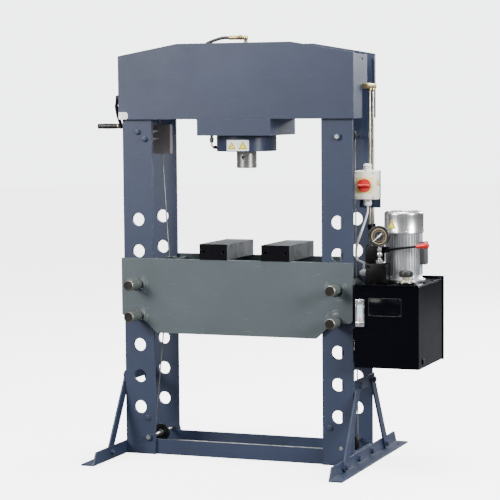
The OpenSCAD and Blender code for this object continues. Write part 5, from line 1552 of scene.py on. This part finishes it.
# ---- crank -----------------------------------------------------------------
# A forged black arm with a bent shank on the end of the winch's shaft. The pinion is cut
# on the same shaft, and a hard black ribbed grip turns on the spindle at the arm's end.
crank_black = bright_steel("crank_black", (0.030, 0.030, 0.032), 0.40, (30, 30, 60), 0.5)
shaft_y, shaft_z = -0.060, 1.7052
teeth = 17
crank_frame = Matrix.Translation((-0.640, shaft_y, shaft_z)) @ Matrix.Rotation(math.radians(14), 4, "X")
bm = bmesh.new()
outline = ((0.0030, 0.0110), (0.0015, -0.016), (-0.0065, -0.040), (-0.0040, -0.090), (0.0060, -0.132),
           (0.0060, -0.152),
           (-0.0020, -0.152), (-0.0030, -0.132), (-0.0135, -0.090), (-0.0170, -0.040), (-0.0085, -0.012),
           (-0.0060, 0.0110))
flank = bm.faces.new([bm.verts.new((x, 0.010, z)) for x, z in outline])
pushed_out(bm, [flank], (0, -0.020, 0))
bmesh.ops.bevel(bm, geom=list(bm.edges), offset=0.0018, affect="EDGES", segments=2, profile=0.5,
                material=-1)
bmesh.ops.transform(bm, verts=bm.verts, matrix=crank_frame)
turned(bm, [(0, -0.0085), (0.0115, -0.0085), (0.0125, -0.0070), (0.0125, 0.0050), (0.0110, 0.0062),
            (0.0060, 0.0066),
            (0, 0.0068)], crank_frame @ pointing((-1, 0, 0), (0, 0, 0)), 40)
spindle = crank_frame @ pointing((-1, 0, 0), (0, 0, -0.140))
turned(bm, [(0, 0.0015), (0.0105, 0.0015), (0.0110, 0.0022), (0.0110, 0.0086), (0.0050, 0.0090),
            (0.0050, 0.1180), (0, 0.1180)],
       spindle, 36)
crank_forging = as_piece("crank_forging", bm, "crank", [crank_black])
bm = bmesh.new()
shaft = pointing((1, 0, 0), (-0.632, shaft_y, shaft_z))
turned(bm, [(0, 0), (0.0098, 0), (0.0098, 0.2440), (0.0060, 0.2450), (0.0060, 0.2575), (0, 0.2575)], shaft,
       32)
turned(bm, [(0.0062, 0.2470), (0.0146, 0.2470), (0.0146, 0.2550), (0.0062, 0.2550), (0.0062, 0.2470)],
       shaft, 68)
for i in range(teeth):
    turn = math.radians(118.27 + 180 + 360 * (i + 0.5) / teeth)
    tooth = Matrix.Translation((-0.381, shaft_y, shaft_z)) @ Matrix.Rotation(turn, 4, "X")
    made = bmesh.ops.create_cube(bm, size=1, matrix=Matrix.Translation((0, 0.0163, 0))
                                 @ Matrix.Diagonal((0.0080, 0.0046, 0.0034, 1)))["verts"]
    bmesh.ops.scale(bm, verts=[v for v in made if v.co.y > 0.0163], vec=(1, 1, 0.48))
    bmesh.ops.transform(bm, verts=made, matrix=tooth)
crank_pinion = as_piece("crank_pinion", bm, "crank", [dark_steel])
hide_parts("crank_arm")
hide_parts("crank_arm")

grip_black = moulded("grip_black", (0.008, 0.008, 0.008), 0.36, 0.2)
grip_start = 0.0155
grip_end = 0.1205
grip_ribs = 14
bm = bmesh.new()
profile = [(0.0052, grip_start), (0.0105, grip_start), (0.0118, grip_start + 0.0014)]
for i in range(grip_ribs):
    step = grip_start + 0.0030 + (grip_end - grip_start - 0.0120) * i / grip_ribs
    swell = 0.0122 + 0.0012 * math.sin(math.pi * (i + 0.5) / grip_ribs)
    profile += [(swell, step), (swell, step + 0.0042), (swell - 0.0010, step + 0.0048),
                (swell - 0.0010, step + 0.0060)]
profile += [(0.0128, grip_end - 0.0080), (0.0133, grip_end - 0.0050), (0.0128, grip_end - 0.0020),
            (0.0100, grip_end - 0.0004),
            (0, grip_end)]
turned(bm, profile, spindle, 40)
grip_sleeve = as_piece("grip_sleeve", bm, "grip", [grip_black])
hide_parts("crank_grip")
bm = bmesh.new()
turned(bm, [(0.0052, 0.0094), (0.0118, 0.0094), (0.0122, 0.0100), (0.0122, 0.0146), (0.0116, 0.0152),
            (0.0052, 0.0152),
            (0.0052, 0.0094)], spindle, 36)
grip_ring = as_piece("grip_ring", bm, "grip", [brass_plate])

# ---- weld beads ------------------------------------------------------------
# Hand-laid fillet welds where the beam's plates meet the posts and the cylinder mount,
# painted over with the frame.


def bead(bm, start, end, radius):
    """A fillet weld: a half-sunk rod whose face rises and falls with the welder's ripples."""
    start = Vector(start)
    end = Vector(end)
    run = (end - start).length
    steps = max(6, int(run / 0.0035))
    profile = [(0, 0)]
    for i in range(steps + 1):
        profile.append((radius * (0.86 + 0.14 * (i % 2) + 0.06 * math.sin(i * 1.7)), run * i / steps))
    profile.append((0, run))
    turned(bm, profile, pointing((end - start).normalized(), start), 8)


bm = bmesh.new()
beam_edge_z = 1.6015
for side in (-1, 1):
    for y in (-0.1535, 0.1535):
        bead(bm, (side * 0.4260, y, beam_edge_z), (side * 0.5700, y, beam_edge_z), 0.0036)
        bead(bm, (side * 0.1832, y, beam_edge_z), (side * 0.1832, y * 1.125, beam_edge_z), 0.0034)
weld_beads = as_piece("weld_beads", bm, "frame", [frame_paint], 60)
